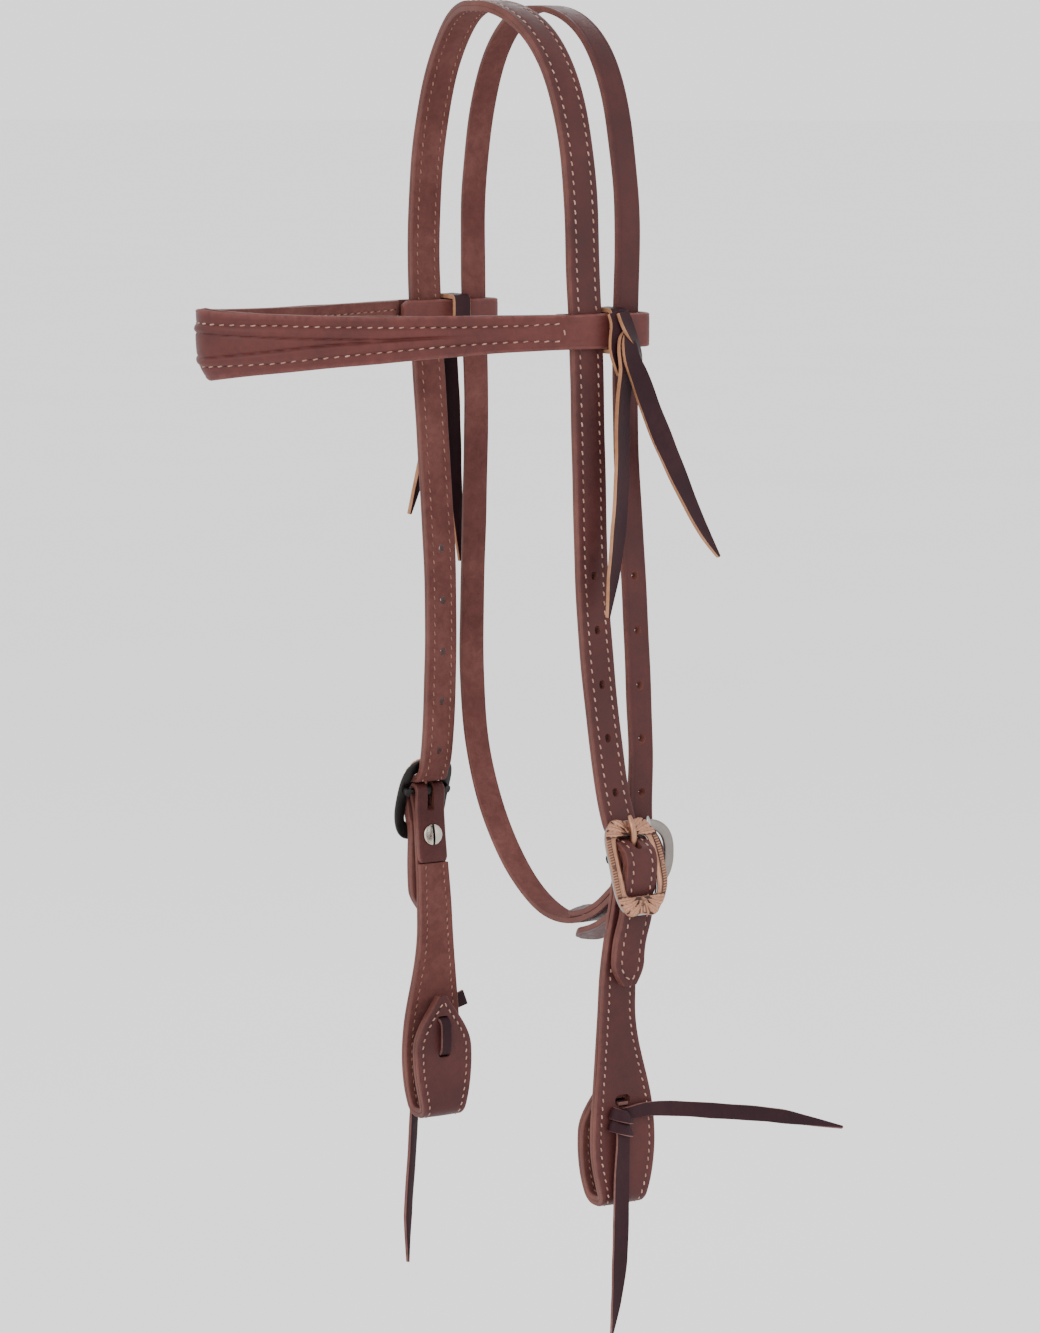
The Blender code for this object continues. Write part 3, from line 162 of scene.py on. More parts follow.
def crown_rule(length):
    s, x, z = hanging(POLL_REACH, POLL_POWER, SIDE_ANGLE, FLARE_START, FLARE_RATE,
                      CROWN_THICK / 2, length)
    y = CROWN_BACK * (1 - np.exp(-((s / CROWN_BACK_REACH) ** 1.5)))
    y += CROWN_LEAN * np.maximum(0, s - CROWN_LEAN_START)
    return np.column_stack([x, y, z])


def throat_rule(length):
    s, x, z = hanging(THROAT_REACH, THROAT_POWER, THROAT_SIDE_ANGLE,
                      THROAT_FLARE_START, THROAT_RATE, THROAT_THICK / 2, length)
    x = x - SLACK_WAVE * ease((s - 90) / 40) * np.cos(
        2 * math.pi * (s - SLACK_CREST) / SLACK_LENGTH)
    y = THROAT_Y + THROAT_BACK * (1 - np.exp(-((s / THROAT_BACK_REACH) ** 1.5)))
    y += THROAT_LEAN * np.maximum(0, s - THROAT_LEAN_START)
    return np.column_stack([x, y, z])


class Buckle:
    """Frame of a buckle: origin on its bar, v down along the plate, u outwards."""

    def __init__(self, bar, tilt):
        t = math.radians(tilt)
        self.bar = np.array(bar, float)
        self.v = np.array([math.sin(t), 0, -math.cos(t)])
        self.u = np.array([math.cos(t), 0, math.sin(t)])

    def point(self, v, u, y=0.0):
        v, u, y = np.broadcast_arrays(np.asarray(v, float), u, y)
        p = self.bar + v[..., None] * self.v + u[..., None] * self.u
        return p + y[..., None] * np.array([0, 1.0, 0])


def buckle_of(side):
    return Buckle((BAR_X, BAR_Y, side["bar_z"]), FRAME_TILT)


def frames(path, lateral):
    tangent = unit(np.gradient(path, axis=0))
    lateral = np.broadcast_to(np.asarray(lateral, float), path.shape)
    lateral = unit(lateral - (lateral * tangent).sum(1)[:, None] * tangent)
    return tangent, lateral, unit(np.cross(lateral, tangent))


# ============================================================= mesh functions
MATERIALS = {}


def make_object(name, verts, faces, mats, index=None, uv=None, attribute=None, sharp=42.0):
    """A mesh object from arrays in millimetres; faces may mix sizes."""
    mesh = bpy.data.meshes.new(name)
    mesh.from_pydata((np.asarray(verts, float) * MM).tolist(), [], faces)
    for m in mats:
        mesh.materials.append(MATERIALS[m])
    if index is not None:
        mesh.polygons.foreach_set("material_index", np.asarray(index, np.int32))
    loops = np.empty(len(mesh.loops), np.int32)
    mesh.loops.foreach_get("vertex_index", loops)
    if uv is not None:
        layer = mesh.uv_layers.new(name="strap")
        layer.data.foreach_set("uv", np.asarray(uv, np.float32)[loops].reshape(-1))
    if attribute is not None:
        layer = mesh.attributes.new("cavity", "FLOAT", "POINT")
        layer.data.foreach_set("value", np.asarray(attribute, np.float32))
    bm = bmesh.new()
    bm.from_mesh(mesh)
    bmesh.ops.recalc_face_normals(bm, faces=bm.faces)
    bm.to_mesh(mesh)
    bm.free()
    mesh.shade_smooth()
    mesh.set_sharp_from_angle(angle=math.radians(sharp))
    obj = bpy.data.objects.new(name, mesh)
    bpy.context.scene.collection.objects.link(obj)
    return obj


def grid_faces(n, m, closed=False, wrap=True):
    faces = []
    for i in range(n if closed else n - 1):
        j = (i + 1) % n
        for k in range(m if wrap else m - 1):
            l = (k + 1) % m
            faces.append((i * m + k, i * m + l, j * m + l, j * m + k))
    return faces


def stations(path, normal, turn, longest, extra=None):
    """Distances along the path at which sections are put."""
    step = np.linalg.norm(np.diff(path, axis=0), axis=1)
    bend = np.arccos(np.clip((normal[1:] * normal[:-1]).sum(axis=1), -1, 1))
    cost = step / longest + bend / math.radians(turn)
    if extra is not None:
        cost = cost + np.abs(np.diff(extra)) / 0.8
    total = np.concatenate([[0], np.cumsum(cost)])
    n = max(3, int(math.ceil(total[-1])) + 1)
    return np.interp(np.linspace(0, total[-1], n), total, run_length(path))


class Strap:
    """A leather ply along a path, with rounded edges and surface relief.
    front and rear are the distances of its edges from the path, lo and hi its
    inner and outer face along the normal."""

    def __init__(self, path, lateral, front, rear, lo, hi, relief=None, under=None):
        n = len(path)
        self.path = np.asarray(path, float)
        self.s = run_length(self.path)
        self.length = self.s[-1]
        _, self.lat, self.nor = frames(self.path, lateral)
        self.front, self.rear, self.lo, self.hi = (
            np.broadcast_to(np.asarray(a, float), n).copy() for a in (front, rear, lo, hi))
        uneven = 0.09 * np.sin(self.s / 13.7 + 1.3) + 0.06 * np.sin(self.s / 5.9)
        if self.length > 250:
            self.front += uneven
            self.rear += 0.09 * np.sin(self.s / 11.3) + 0.06 * np.sin(self.s / 6.7 + 2.0)
        self.relief = relief or (lambda s, a, f, r: 0.0 * a)
        self.under = under or (lambda s, a, f, r: 0.0 * a)
        self.bend = lambda s, a, f, r: 0.0 * a          # moves both faces alike

    def get(self, values, s):
        values = np.asarray(values)
        if values.ndim == 1:
            return np.interp(s, self.s, values)
        return np.stack([np.interp(s, self.s, values[:, k]) for k in range(3)], axis=-1)

    def surface(self, s, a, lift=0.0, outer=True):
        """Point and outward normal on a face at distance s and offset a."""
        s, a = np.broadcast_arrays(np.asarray(s, float), a)
        p, b, m = self.get(self.path, s), unit(self.get(self.lat, s)), unit(self.get(self.nor, s))
        f, r = self.get(self.front, s), self.get(self.rear, s)
        p = p + self.bend(s, a, f, r)[..., None] * m
        if outer:
            h = self.get(self.hi, s) + self.relief(s, a, f, r) + lift
            return p + a[..., None] * b + h[..., None] * m, m
        h = self.get(self.lo, s) - self.under(s, a, f, r) - lift
        return p + a[..., None] * b + h[..., None] * m, -m

    def build(self, name, mats, n_out=21, n_in=9, ro=0.75, ri=0.35, turn=5.0,
              longest=5.0, end_round=0.35, sign=1.0, mid_bulge=0.1):
        s = stations(self.path, self.nor, turn, longest, self.front + self.rear)
        e = end_round
        s = s[(s > 2 * e) & (s < self.length - 2 * e)]
        theta = np.radians([0, 30, 60, 90])
        start = e * (1 - np.cos(theta))
        shrink = e * (1 - np.sin(theta))
        s = np.concatenate([start, s, self.length - start[::-1]])
        inset = np.concatenate([shrink, np.zeros(len(s) - 8), shrink[::-1]])
        p, b, m = self.get(self.path, s), unit(self.get(self.lat, s)), unit(self.get(self.nor, s))
        f, r, lo, hi = (self.get(v, s)[:, None] for v in (self.front, self.rear, self.lo, self.hi))
        ins = inset[:, None]
        f, r, lo, hi = f - ins, r - ins, lo + ins, hi - ins
        ro = np.minimum(ro, (hi - lo) * 0.42)
        ri = np.minimum(ri, (hi - lo) * 0.42)
        one = np.ones_like(f)
        cols_a, cols_h, mat = [], [], []

        def put(a, h, kind):
            cols_a.append(np.broadcast_to(a, (len(s), 1)))
            cols_h.append(np.broadcast_to(h, (len(s), 1)))
            mat.append(kind)

        fade = 1 - ins / e
        for t in np.linspace(0, 1, n_in):
            a = -f + ri + t * (f + r - 2 * ri)
            put(a, lo - self.under(s[:, None], a, f, r) * fade, 1)
        for q in (30, 60):
            q = math.radians(q)
            put(r - ri + ri * math.sin(q), lo + ri - ri * math.cos(q), 2)
        put(r * one, lo + ri, 2)
        put(r + mid_bulge, (lo + hi) / 2, 2)
        put(r * one, hi - ro, 2)
        for q in (25, 50, 72):
            q = math.radians(q)
            put(r - ro + ro * math.cos(q), hi - ro + ro * math.sin(q), 2 if q < 0.7 else 0)
        for t in np.linspace(0, 1, n_out):
            a = r - ro - t * (f + r - 2 * ro)
            put(a, hi + self.relief(s[:, None], a, f, r) * fade, 0)
        for q in (72, 50, 25):
            q = math.radians(q)
            put(-f + ro - ro * math.cos(q), hi - ro + ro * math.sin(q), 0 if q > 1.0 else 2)
        put(-f * one, hi - ro, 2)
        put(-f - mid_bulge, (lo + hi) / 2, 2)
        put(-f * one, lo + ri, 2)
        for q in (60, 30):
            q = math.radians(q)
            put(-f + ri - ri * math.sin(q), lo + ri - ri * math.cos(q), 2)
        a, h = np.hstack(cols_a), np.hstack(cols_h)
        h = h + self.bend(s[:, None], a, f, r)
        k = a.shape[1]
        verts = p[:, None, :] + a[..., None] * b[:, None, :] + h[..., None] * m[:, None, :]
        verts = verts.reshape(-1, 3) * np.array([sign, 1, 1])
        across = (a + f) / (f + r)
        uv = np.stack([np.broadcast_to(s[:, None] * MM, a.shape), across], -1).reshape(-1, 2)
        n = len(s)
        faces = grid_faces(n, k)
        kind = [mat[j] if mat[j] == mat[(j + 1) % k] or mat[j] == 2 else
                (mat[j] if mat[(j + 1) % k] == 2 else 2) for j in range(k)]
        for j in range(k):
            if 2 in (mat[j], mat[(j + 1) % k]) and mat[j] != mat[(j + 1) % k]:
                kind[j] = 0 if 0 in (mat[j], mat[(j + 1) % k]) else 1
        index = kind * (n - 1) + [2, 2]
        faces += [tuple(range(k)), tuple((n - 1) * k + j for j in range(k))]
        return make_object(name, verts, faces, mats, index, uv)


def tube(path, radius, sides=10, lateral=(0, 1, 0), flat=1.0, step=None, round_ends=True):
    """A rod: verts and faces.  flat squeezes it along its normal."""
    path = np.asarray(path, float)
    radius = np.broadcast_to(np.asarray(radius, float), len(path)).copy()
    if step:
        s = run_length(path)
        t = np.linspace(0, s[-1], max(3, int(s[-1] / step)))
        radius = np.interp(t, s, radius)
        path = at(path, t)
    if round_ends:
        tangent = unit(np.gradient(path, axis=0))
        a, b = path[0], path[-1]
        add = np.radians([90, 60, 30])
        first = [a - tangent[0] * radius[0] * math.sin(q) for q in add]
        last = [b + tangent[-1] * radius[-1] * math.sin(q) for q in add[::-1]]
        r0 = [radius[0] * max(math.cos(q), 0.05) for q in add]
        r1 = [radius[-1] * max(math.cos(q), 0.05) for q in add[::-1]]
        path = np.vstack([first, path, last])
        radius = np.concatenate([r0, radius, r1])
    _, lat, nor = frames(path, lateral)
    a = np.arange(sides) * 2 * math.pi / sides
    ring = (np.cos(a)[None, :, None] * lat[:, None, :] + flat * np.sin(a)[None, :, None]
            * nor[:, None, :]) * radius[:, None, None]
    verts = (path[:, None, :] + ring).reshape(-1, 3)
    n = len(path)
    faces = grid_faces(n, sides) + [tuple(range(sides)),
                                    tuple((n - 1) * sides + j for j in range(sides))]
    return verts, faces


def joined(parts):
    verts, faces, base = [], [], 0
    for v, f in parts:
        verts.append(np.asarray(v))
        faces += [tuple(i + base for i in g) for g in f]
        base += len(v)
    return np.vstack(verts), faces


def cut(obj, parts, kind=2):
    """Takes shapes out of an object; the walls get its edge material."""
    for verts, faces in parts:
        mesh = bpy.data.meshes.new("cutter")
        mesh.from_pydata((np.asarray(verts) * MM).tolist(), [], faces)
        bm = bmesh.new()
        bm.from_mesh(mesh)
        bmesh.ops.recalc_face_normals(bm, faces=bm.faces)
        bm.to_mesh(mesh)
        bm.free()
        for m in obj.data.materials:
            mesh.materials.append(m)
        mesh.polygons.foreach_set("material_index", [kind] * len(mesh.polygons))
        cutter = bpy.data.objects.new("cutter", mesh)
        bpy.context.scene.collection.objects.link(cutter)
        mod = obj.modifiers.new("cut", "BOOLEAN")
        mod.operation, mod.object, mod.solver = "DIFFERENCE", cutter, "EXACT"
        graph = bpy.context.evaluated_depsgraph_get()
        graph.update()
        new = bpy.data.meshes.new_from_object(obj.evaluated_get(graph))
        obj.modifiers.remove(mod)
        old = obj.data
        name = old.name
        obj.data = new
        bpy.data.meshes.remove(old)
        new.name = name
        bpy.data.objects.remove(cutter)
        bpy.data.meshes.remove(mesh)
    obj.data.shade_smooth()
    obj.data.set_sharp_from_angle(angle=math.radians(42))


def prism(center, axis, side, up, outline, depth):
    verts = []
    for d in (-depth, depth):
        verts += [center + a * side + b * up + d * axis for a, b in outline]
    n = len(outline)
    faces = [(k, (k + 1) % n, n + (k + 1) % n, n + k) for k in range(n)]
    faces += [tuple(range(n)), tuple(range(n, 2 * n))]
    return np.array(verts), faces


def punch(center, axis, side, up, outline, depth, inner):
    """A punched hole that closes up towards the inside."""
    verts = []
    for d, k in ((-depth, inner), (depth, 1.0)):
        verts += [center + k * a * side + k * b * up + d * axis for a, b in outline]
    n = len(outline)
    faces = [(k, (k + 1) % n, n + (k + 1) % n, n + k) for k in range(n)]
    faces += [tuple(range(n)), tuple(range(n, 2 * n))]
    return np.array(verts), faces


def stadium(length, width, sides=20):
    r, out = width / 2, []
    for k in range(sides):
        a = 2 * math.pi * (k + 0.5) / sides
        y = r * math.sin(a)
        out.append((r * math.cos(a), y + math.copysign((length - width) / 2, y)))
    return out


def box(lo, hi):
    (a, b, c), (d, e, f) = lo, hi
    verts = np.array([(x, y, z) for x in (a, d) for y in (b, e) for z in (c, f)])
    return verts, [(0, 1, 3, 2), (4, 6, 7, 5), (0, 4, 5, 1), (2, 3, 7, 6), (0, 2, 6, 4),
                   (1, 5, 7, 3)]


def turned(profile, sides=40):
    """A solid of revolution about its z axis, from pairs that start and end on it."""
    profile = np.asarray(profile, float)
    verts, faces = [(0, 0, profile[0, 1])], []
    for r, z in profile[1:-1]:
        for k in range(sides):
            a = 2 * math.pi * k / sides
            verts.append((r * math.cos(a), r * math.sin(a), z))
    verts.append((0, 0, profile[-1, 1]))
    n, last = len(profile) - 2, len(verts) - 1
    for k in range(sides):
        l = (k + 1) % sides
        faces.append((0, 1 + l, 1 + k))
        for i in range(n - 1):
            a, b = 1 + i * sides, 1 + (i + 1) * sides
            faces.append((a + k, a + l, b + l, b + k))
        faces.append((last, 1 + (n - 1) * sides + k, 1 + (n - 1) * sides + l))
    return np.array(verts, float), faces


def placed(part, origin, x_axis, y_axis, z_axis):
    v, f = part
    v = np.asarray(v)
    return (np.asarray(origin) + v[:, :1] * x_axis + v[:, 1:2] * y_axis
            + v[:, 2:3] * z_axis), f


def mirrored(part, sign):
    v, f = part
    return np.asarray(v) * np.array([sign, 1, 1]), f


# ================================================================== stitching
def sew(name, rows, sign=1.0, pitch=CROWN_PITCH, seed=3, thread="thread",
        radius=THREAD_RADIUS):
    """Stitches along rows.  A row is (points, normals): each stitch is a short
    bowed thread whose ends sink into the leather, with a dark disc after it that paints the shade of its
    stitch hole."""
    rng = np.random.default_rng(seed)
    sides, show = 7, pitch * STITCH_SHOW
    ts = np.array([0.0, 0.12, 0.35, 0.65, 0.88, 1.0])
    rise = np.array([-0.34, 0.02, 0.15, 0.15, 0.02, -0.34])
    wide = np.array([0.55, 0.92, 1.0, 1.0, 0.92, 0.55])
    verts, faces, index, uvs = [], [], [], []
    ang = np.arange(sides) * 2 * math.pi / sides
    for points, normals in rows:
        d = run_length(points)
        count = int((d[-1] + 0.6) // pitch)
        if count < 1:
            continue
        step = d[-1] / count
        for k in range(count):
            s0 = step * (k + 0.5) - show / 2 + rng.normal(0, 0.05)
            s = s0 + ts * show
            q = at(points, np.clip(s, 0, d[-1]))
            m = unit(at_values(normals, d, s))
            t = unit(np.gradient(q, axis=0))
            b = np.cross(m, t)
            lean = (ts - 0.5) * 0.42 + rng.normal(0, 0.05)
            q = q + rise[:, None] * m + lean[:, None] * b
            base = len(verts)
            ring = (np.cos(ang)[None, :, None] * b[:, None, :]
                    + 0.85 * np.sin(ang)[None, :, None] * m[:, None, :])
            ring = q[:, None, :] + ring * (radius * wide)[:, None, None]
            verts += ring.reshape(-1, 3).tolist()
            uvs += [(t_ * show * MM, j / sides) for t_ in ts for j in range(sides)]
            n = len(ts)
            for i in range(n - 1):
                for j in range(sides):
                    l = (j + 1) % sides
                    faces.append((base + i * sides + j, base + i * sides + l,
                                  base + (i + 1) * sides + l, base + (i + 1) * sides + j))
                    index.append(0)
            faces.append(tuple(base + j for j in range(sides)))
            faces.append(tuple(base + (n - 1) * sides + j for j in range(sides)))
            index += [0, 0]
            # a dark disc after the stitch: painted shade in the stitch hole
            sh = s0 + show + (step - show) / 2
            if sh < d[-1]:
                c = at(points, [sh])[0]
                m1 = unit(at_values(normals, d, np.array([sh])))[0]
                t1 = unit(at(points, [min(sh + 0.3, d[-1])])[0] - at(points, [sh - 0.3])[0])
                b1 = np.cross(m1, t1)
                base = len(verts)
                for lift, size in ((0.03, 1.0), (-0.25, 0.9)):
                    for j in range(8):
                        a = 2 * math.pi * j / 8
                        verts.append((c + lift * m1 + size * (0.62 * math.cos(a) * t1
                                                              + 0.40 * math.sin(a) * b1)).tolist())
                        uvs.append((0.0, 0.0))
                for j in range(8):
                    l = (j + 1) % 8
                    faces.append((base + j, base + l, base + 8 + l, base + 8 + j))
                faces.append(tuple(base + j for j in range(8)))
                faces.append(tuple(base + 8 + j for j in range(8)))
                index += [1] * 10
    verts = np.array(verts) * np.array([sign, 1, 1])
    return make_object(name, verts, faces, (thread, "stitch_hole_shade"), index, uvs, sharp=80)


def at_values(values, d, s):
    return np.stack([np.interp(s, d, values[:, k]) for k in range(3)], axis=-1)


def row_on(strap, s0, s1, offset, outer=True, step=0.8):
    """A stitch row on a strap face between two distances; offset(s) is its a."""
    s = np.arange(min(s0, s1), max(s0, s1), step)
    return strap.surface(s, offset(s), 0.0, outer)


# ================================================================== materials
def node_material(name):
    mat = bpy.data.materials.new(name)
    mat.use_nodes = True
    tree = mat.node_tree
    shader = tree.nodes["Principled BSDF"]
    MATERIALS[name] = mat
    return mat, tree, shader


def add(tree, kind, **settings):
    node = tree.nodes.new(kind)
    for key, value in settings.items():
        if key in node.inputs.keys():
            node.inputs[key].default_value = value
        else:
            setattr(node, key, value)
    return node


def ramp(tree, fac, stops):
    node = tree.nodes.new("ShaderNodeValToRGB")
    node.color_ramp.elements[0].position, node.color_ramp.elements[0].color = stops[0][0], (*stops[0][1], 1)
    node.color_ramp.elements[1].position, node.color_ramp.elements[1].color = stops[-1][0], (*stops[-1][1], 1)
    for pos, color in stops[1:-1]:
        element = node.color_ramp.elements.new(pos)
        element.color = (*color, 1)
    tree.links.new(fac, node.inputs["Fac"])
    return node.outputs["Color"]


def noise(tree, vector, scale, detail=3.0, rough=0.5, distort=0.0):
    node = add(tree, "ShaderNodeTexNoise", Scale=scale, Detail=detail, Roughness=rough,
               Distortion=distort)
    tree.links.new(vector, node.inputs["Vector"])
    return node.outputs["Fac"]


def mix(tree, fac, a, b, mode="MIX"):
    node = tree.nodes.new("ShaderNodeMix")
    node.data_type, node.blend_type = "RGBA", mode
    for socket, value in ((node.inputs[0], fac), (node.inputs[6], a), (node.inputs[7], b)):
        if hasattr(value, "is_linked") or hasattr(value, "links"):
            tree.links.new(value, socket)
        else:
            socket.default_value = value if isinstance(value, float) else (*value, 1)
    return node.outputs[2]


def math_node(tree, operation, a, b=None, clamp=False):
    node = tree.nodes.new("ShaderNodeMath")
    node.operation, node.use_clamp = operation, clamp
    for socket, value in ((node.inputs[0], a), (node.inputs[1], b)):
        if value is None:
            continue
        if isinstance(value, (int, float)):
            socket.default_value = value
        else:
            tree.links.new(value, socket)
    return node.outputs[0]


def remap(tree, value, lo, hi, to_lo, to_hi):
    node = tree.nodes.new("ShaderNodeMapRange")
    node.inputs["From Min"].default_value, node.inputs["From Max"].default_value = lo, hi
    node.inputs["To Min"].default_value, node.inputs["To Max"].default_value = to_lo, to_hi
    tree.links.new(value, node.inputs["Value"])
    return node.outputs["Result"]


def bump(tree, shader, layers):
    """Height layers as (value, strength, distance in metres)."""
    previous = None
    for value, strength, distance in layers:
        node = add(tree, "ShaderNodeBump", Strength=strength, Distance=distance)
        tree.links.new(value, node.inputs["Height"])
        if previous is not None:
            tree.links.new(previous, node.inputs["Normal"])
        previous = node.outputs["Normal"]
    tree.links.new(previous, shader.inputs["Normal"])


def leather(name, deep, mid, light, rough=(0.42, 0.6), pores=1500.0, depth=1.0,
            edge_wear=0.0, spec=0.42, coat=0.0):
    mat, tree, shader = node_material(name)
    coords = tree.nodes.new("ShaderNodeTexCoord").outputs["Object"]
    broad = noise(tree, coords, 26.0, 3.0, 0.55)
    fine = noise(tree, coords, 240.0, 5.0, 0.6, 0.6)
    grit = noise(tree, coords, 2600.0, 3.0, 0.6)
    blend = math_node(tree, "ADD", math_node(tree, "MULTIPLY", broad, 0.55),
                      math_node(tree, "MULTIPLY", fine, 0.35))
    blend = math_node(tree, "ADD", blend, math_node(tree, "MULTIPLY", grit, 0.10))
    color = ramp(tree, blend, ((0.34, deep), (0.50, mid), (0.68, light)))
    # fine wrinkles: dark creases between cells stretched across the strap
    cells = add(tree, "ShaderNodeTexVoronoi", Scale=pores, feature="F1")
    tree.links.new(coords, cells.inputs["Vector"])
    pore = cells.outputs["Distance"]
    if edge_wear:
        uv = add(tree, "ShaderNodeUVMap", uv_map="strap").outputs["UV"]
        split = tree.nodes.new("ShaderNodeSeparateXYZ")
        tree.links.new(uv, split.inputs[0])
        off = math_node(tree, "ABSOLUTE", math_node(tree, "SUBTRACT", split.outputs["Y"], 0.5))
        wear = remap(tree, off, 0.40, 0.50, 0.0, edge_wear)
        wear = math_node(tree, "MULTIPLY", wear, remap(tree, fine, 0.35, 0.6, 0.3, 1.0), True)
        color = mix(tree, wear, color, tuple(min(1.0, c * 1.5 + 0.02) for c in light))
    tree.links.new(color, shader.inputs["Base Color"])
    tree.links.new(remap(tree, fine, 0.3, 0.7, rough[0], rough[1]), shader.inputs["Roughness"])
    shader.inputs["Specular IOR Level"].default_value = spec
    if coat:
        shader.inputs["Coat Weight"].default_value = coat
        shader.inputs["Coat Roughness"].default_value = 0.35
    bump(tree, shader, ((fine, 0.30 * depth, 0.0004), (pore, 0.32 * depth, 0.00016),
                        (grit, 0.22 * depth, 0.0001)))
    return mat


def metal(name, base, rough, patina=None, grain=900.0, spots=0.25):
    mat, tree, shader = node_material(name)
    coords = tree.nodes.new("ShaderNodeTexCoord").outputs["Object"]
    a = noise(tree, coords, 120.0, 4.0, 0.6)
    b = noise(tree, coords, grain, 4.0, 0.65)
    darker = tuple(c * (1 - spots) for c in base)
    color = ramp(tree, a, ((0.35, darker), (0.65, base)))
    level = remap(tree, b, 0.3, 0.7, rough[0], rough[1])
    if patina:
        cavity = add(tree, "ShaderNodeAttribute", attribute_name="cavity").outputs["Fac"]
        worn = math_node(tree, "ADD", cavity,
                         math_node(tree, "MULTIPLY", math_node(tree, "SUBTRACT", a, 0.5), 0.5))
        worn = remap(tree, worn, 0.25, 0.75, 0.0, 1.0)
        color = mix(tree, worn, color, patina)
        level = math_node(tree, "ADD", level, math_node(tree, "MULTIPLY", worn, 0.22), True)
        tree.links.new(remap(tree, worn, 0.0, 1.0, 1.0, 0.55), shader.inputs["Metallic"])
    else:
        shader.inputs["Metallic"].default_value = 1.0
    tree.links.new(color, shader.inputs["Base Color"])
    tree.links.new(level, shader.inputs["Roughness"])
    bump(tree, shader, ((b, 0.12, 0.00008), (a, 0.1, 0.0003)))
    return mat


def make_materials():
    leather("grain", (0.038, 0.0102, 0.0102), (0.054, 0.0142, 0.0136), (0.076, 0.0205, 0.0185),
            edge_wear=0.35, spec=0.20)
    # band_grain_lit: the same grain leather painted lighter, painted light for the well-lit browband front
    leather("band_grain_lit", (0.060, 0.0150, 0.0138), (0.086, 0.0215, 0.0190),
            (0.122, 0.0325, 0.0275), edge_wear=0.5, spec=0.24)
    leather("flesh", (0.064, 0.0215, 0.0195), (0.097, 0.0345, 0.0310), (0.142, 0.0560, 0.0480),
            (0.82, 0.95), 2600.0, 1.8, spec=0.10)
    leather("edge", (0.070, 0.0215, 0.0180), (0.104, 0.0350, 0.0280), (0.152, 0.0570, 0.0440),
            (0.45, 0.65), 1800.0, 1.2, spec=0.20)
    leather("latigo", (0.0150, 0.0053, 0.0076), (0.0225, 0.0078, 0.0108), (0.034, 0.0125, 0.0160),
            (0.45, 0.62), 1200.0, 0.8, spec=0.10)
    leather("raw_edge", (0.22, 0.092, 0.046), (0.33, 0.155, 0.082), (0.46, 0.24, 0.142),
            (0.7, 0.9), 2200.0, 1.4, spec=0.15)
    leather("dyed_edge", (0.085, 0.034, 0.030), (0.140, 0.062, 0.054), (0.22, 0.112, 0.098),
            (0.6, 0.8), 2200.0, 1.2, spec=0.2)
    metal("steel", (0.36, 0.34, 0.32), (0.28, 0.46))
    metal("brushed", (0.245, 0.215, 0.200), (0.42, 0.56), spots=0.12)
    # dark_steel: steel painted near-black as painted shade, for the far buckle frame, the back faces of the
    # frames, the bars, the far tongue's ring and the screw slots
    metal("dark_steel", (0.040, 0.036, 0.036), (0.38, 0.55))
    metal("bright", (0.50, 0.455, 0.395), (0.18, 0.34), spots=0.15)
    metal("copper", (0.45, 0.225, 0.148), (0.32, 0.48), (0.045, 0.022, 0.017), spots=0.32)
    # thread: two twisted yarns, waxed; the copy for the inner side is the same thread painted darker, painted
    # shade
    for name, stops in (("thread", ((0.23, 0.115, 0.088), (0.35, 0.200, 0.155), (0.47, 0.31, 0.25))),
                        ("thread_inside_shaded", ((0.150, 0.066, 0.046), (0.235, 0.115, 0.080),
                                           (0.34, 0.180, 0.130)))):
        mat, tree, shader = node_material(name)
        uv = add(tree, "ShaderNodeUVMap", uv_map="strap").outputs["UV"]
        mapping = add(tree, "ShaderNodeMapping")
        mapping.inputs["Scale"].default_value = (1400.0, 2.0, 1.0)
        tree.links.new(uv, mapping.inputs["Vector"])
        wave = add(tree, "ShaderNodeTexWave", Scale=0.5, Distortion=0.6,
                   bands_direction="DIAGONAL")
        tree.links.new(mapping.outputs["Vector"], wave.inputs["Vector"])
        coords = tree.nodes.new("ShaderNodeTexCoord").outputs["Object"]
        dirt = noise(tree, coords, 160.0, 3.0, 0.6)
        color = ramp(tree, dirt, tuple(zip((0.3, 0.55, 0.7), stops)))
        tree.links.new(color, shader.inputs["Base Color"])
        shader.inputs["Roughness"].default_value = 0.6
        shader.inputs["Specular IOR Level"].default_value = 0.25
        bump(tree, shader, ((wave.outputs["Fac"], 0.5, 0.0002),))
    # stitch holes: a near-black colour that paints the shade in the holes
    mat, tree, shader = node_material("stitch_hole_shade")
    coords = tree.nodes.new("ShaderNodeTexCoord").outputs["Object"]
    tone = noise(tree, coords, 400.0, 3.0, 0.6)
    tree.links.new(ramp(tree, tone, ((0.3, (0.006, 0.003, 0.003)), (0.7, (0.016, 0.006, 0.005)))),
                   shader.inputs["Base Color"])
    shader.inputs["Roughness"].default_value = 0.9


# ================================================================= the straps
def groove(a, f, r, inset, depth=0.22, wide=0.55):
    """Shallow channels along both stitch rows."""
    q = np.minimum(1.0, (f + r) / 2 / (inset + 1.2))
    lo, hi = -f + inset * q, r - inset * q
    return -depth * (np.exp(-((a - lo) / wide) ** 2) + np.exp(-((a - hi) / wide) ** 2))


def crown_relief(s, a, f, r):
    t = (a + f) / np.maximum(f + r, 1e-6)
    return groove(a, f, r, STITCH_INSET) + 0.18 * np.sin(math.pi * np.clip(t, 0, 1)) ** 2


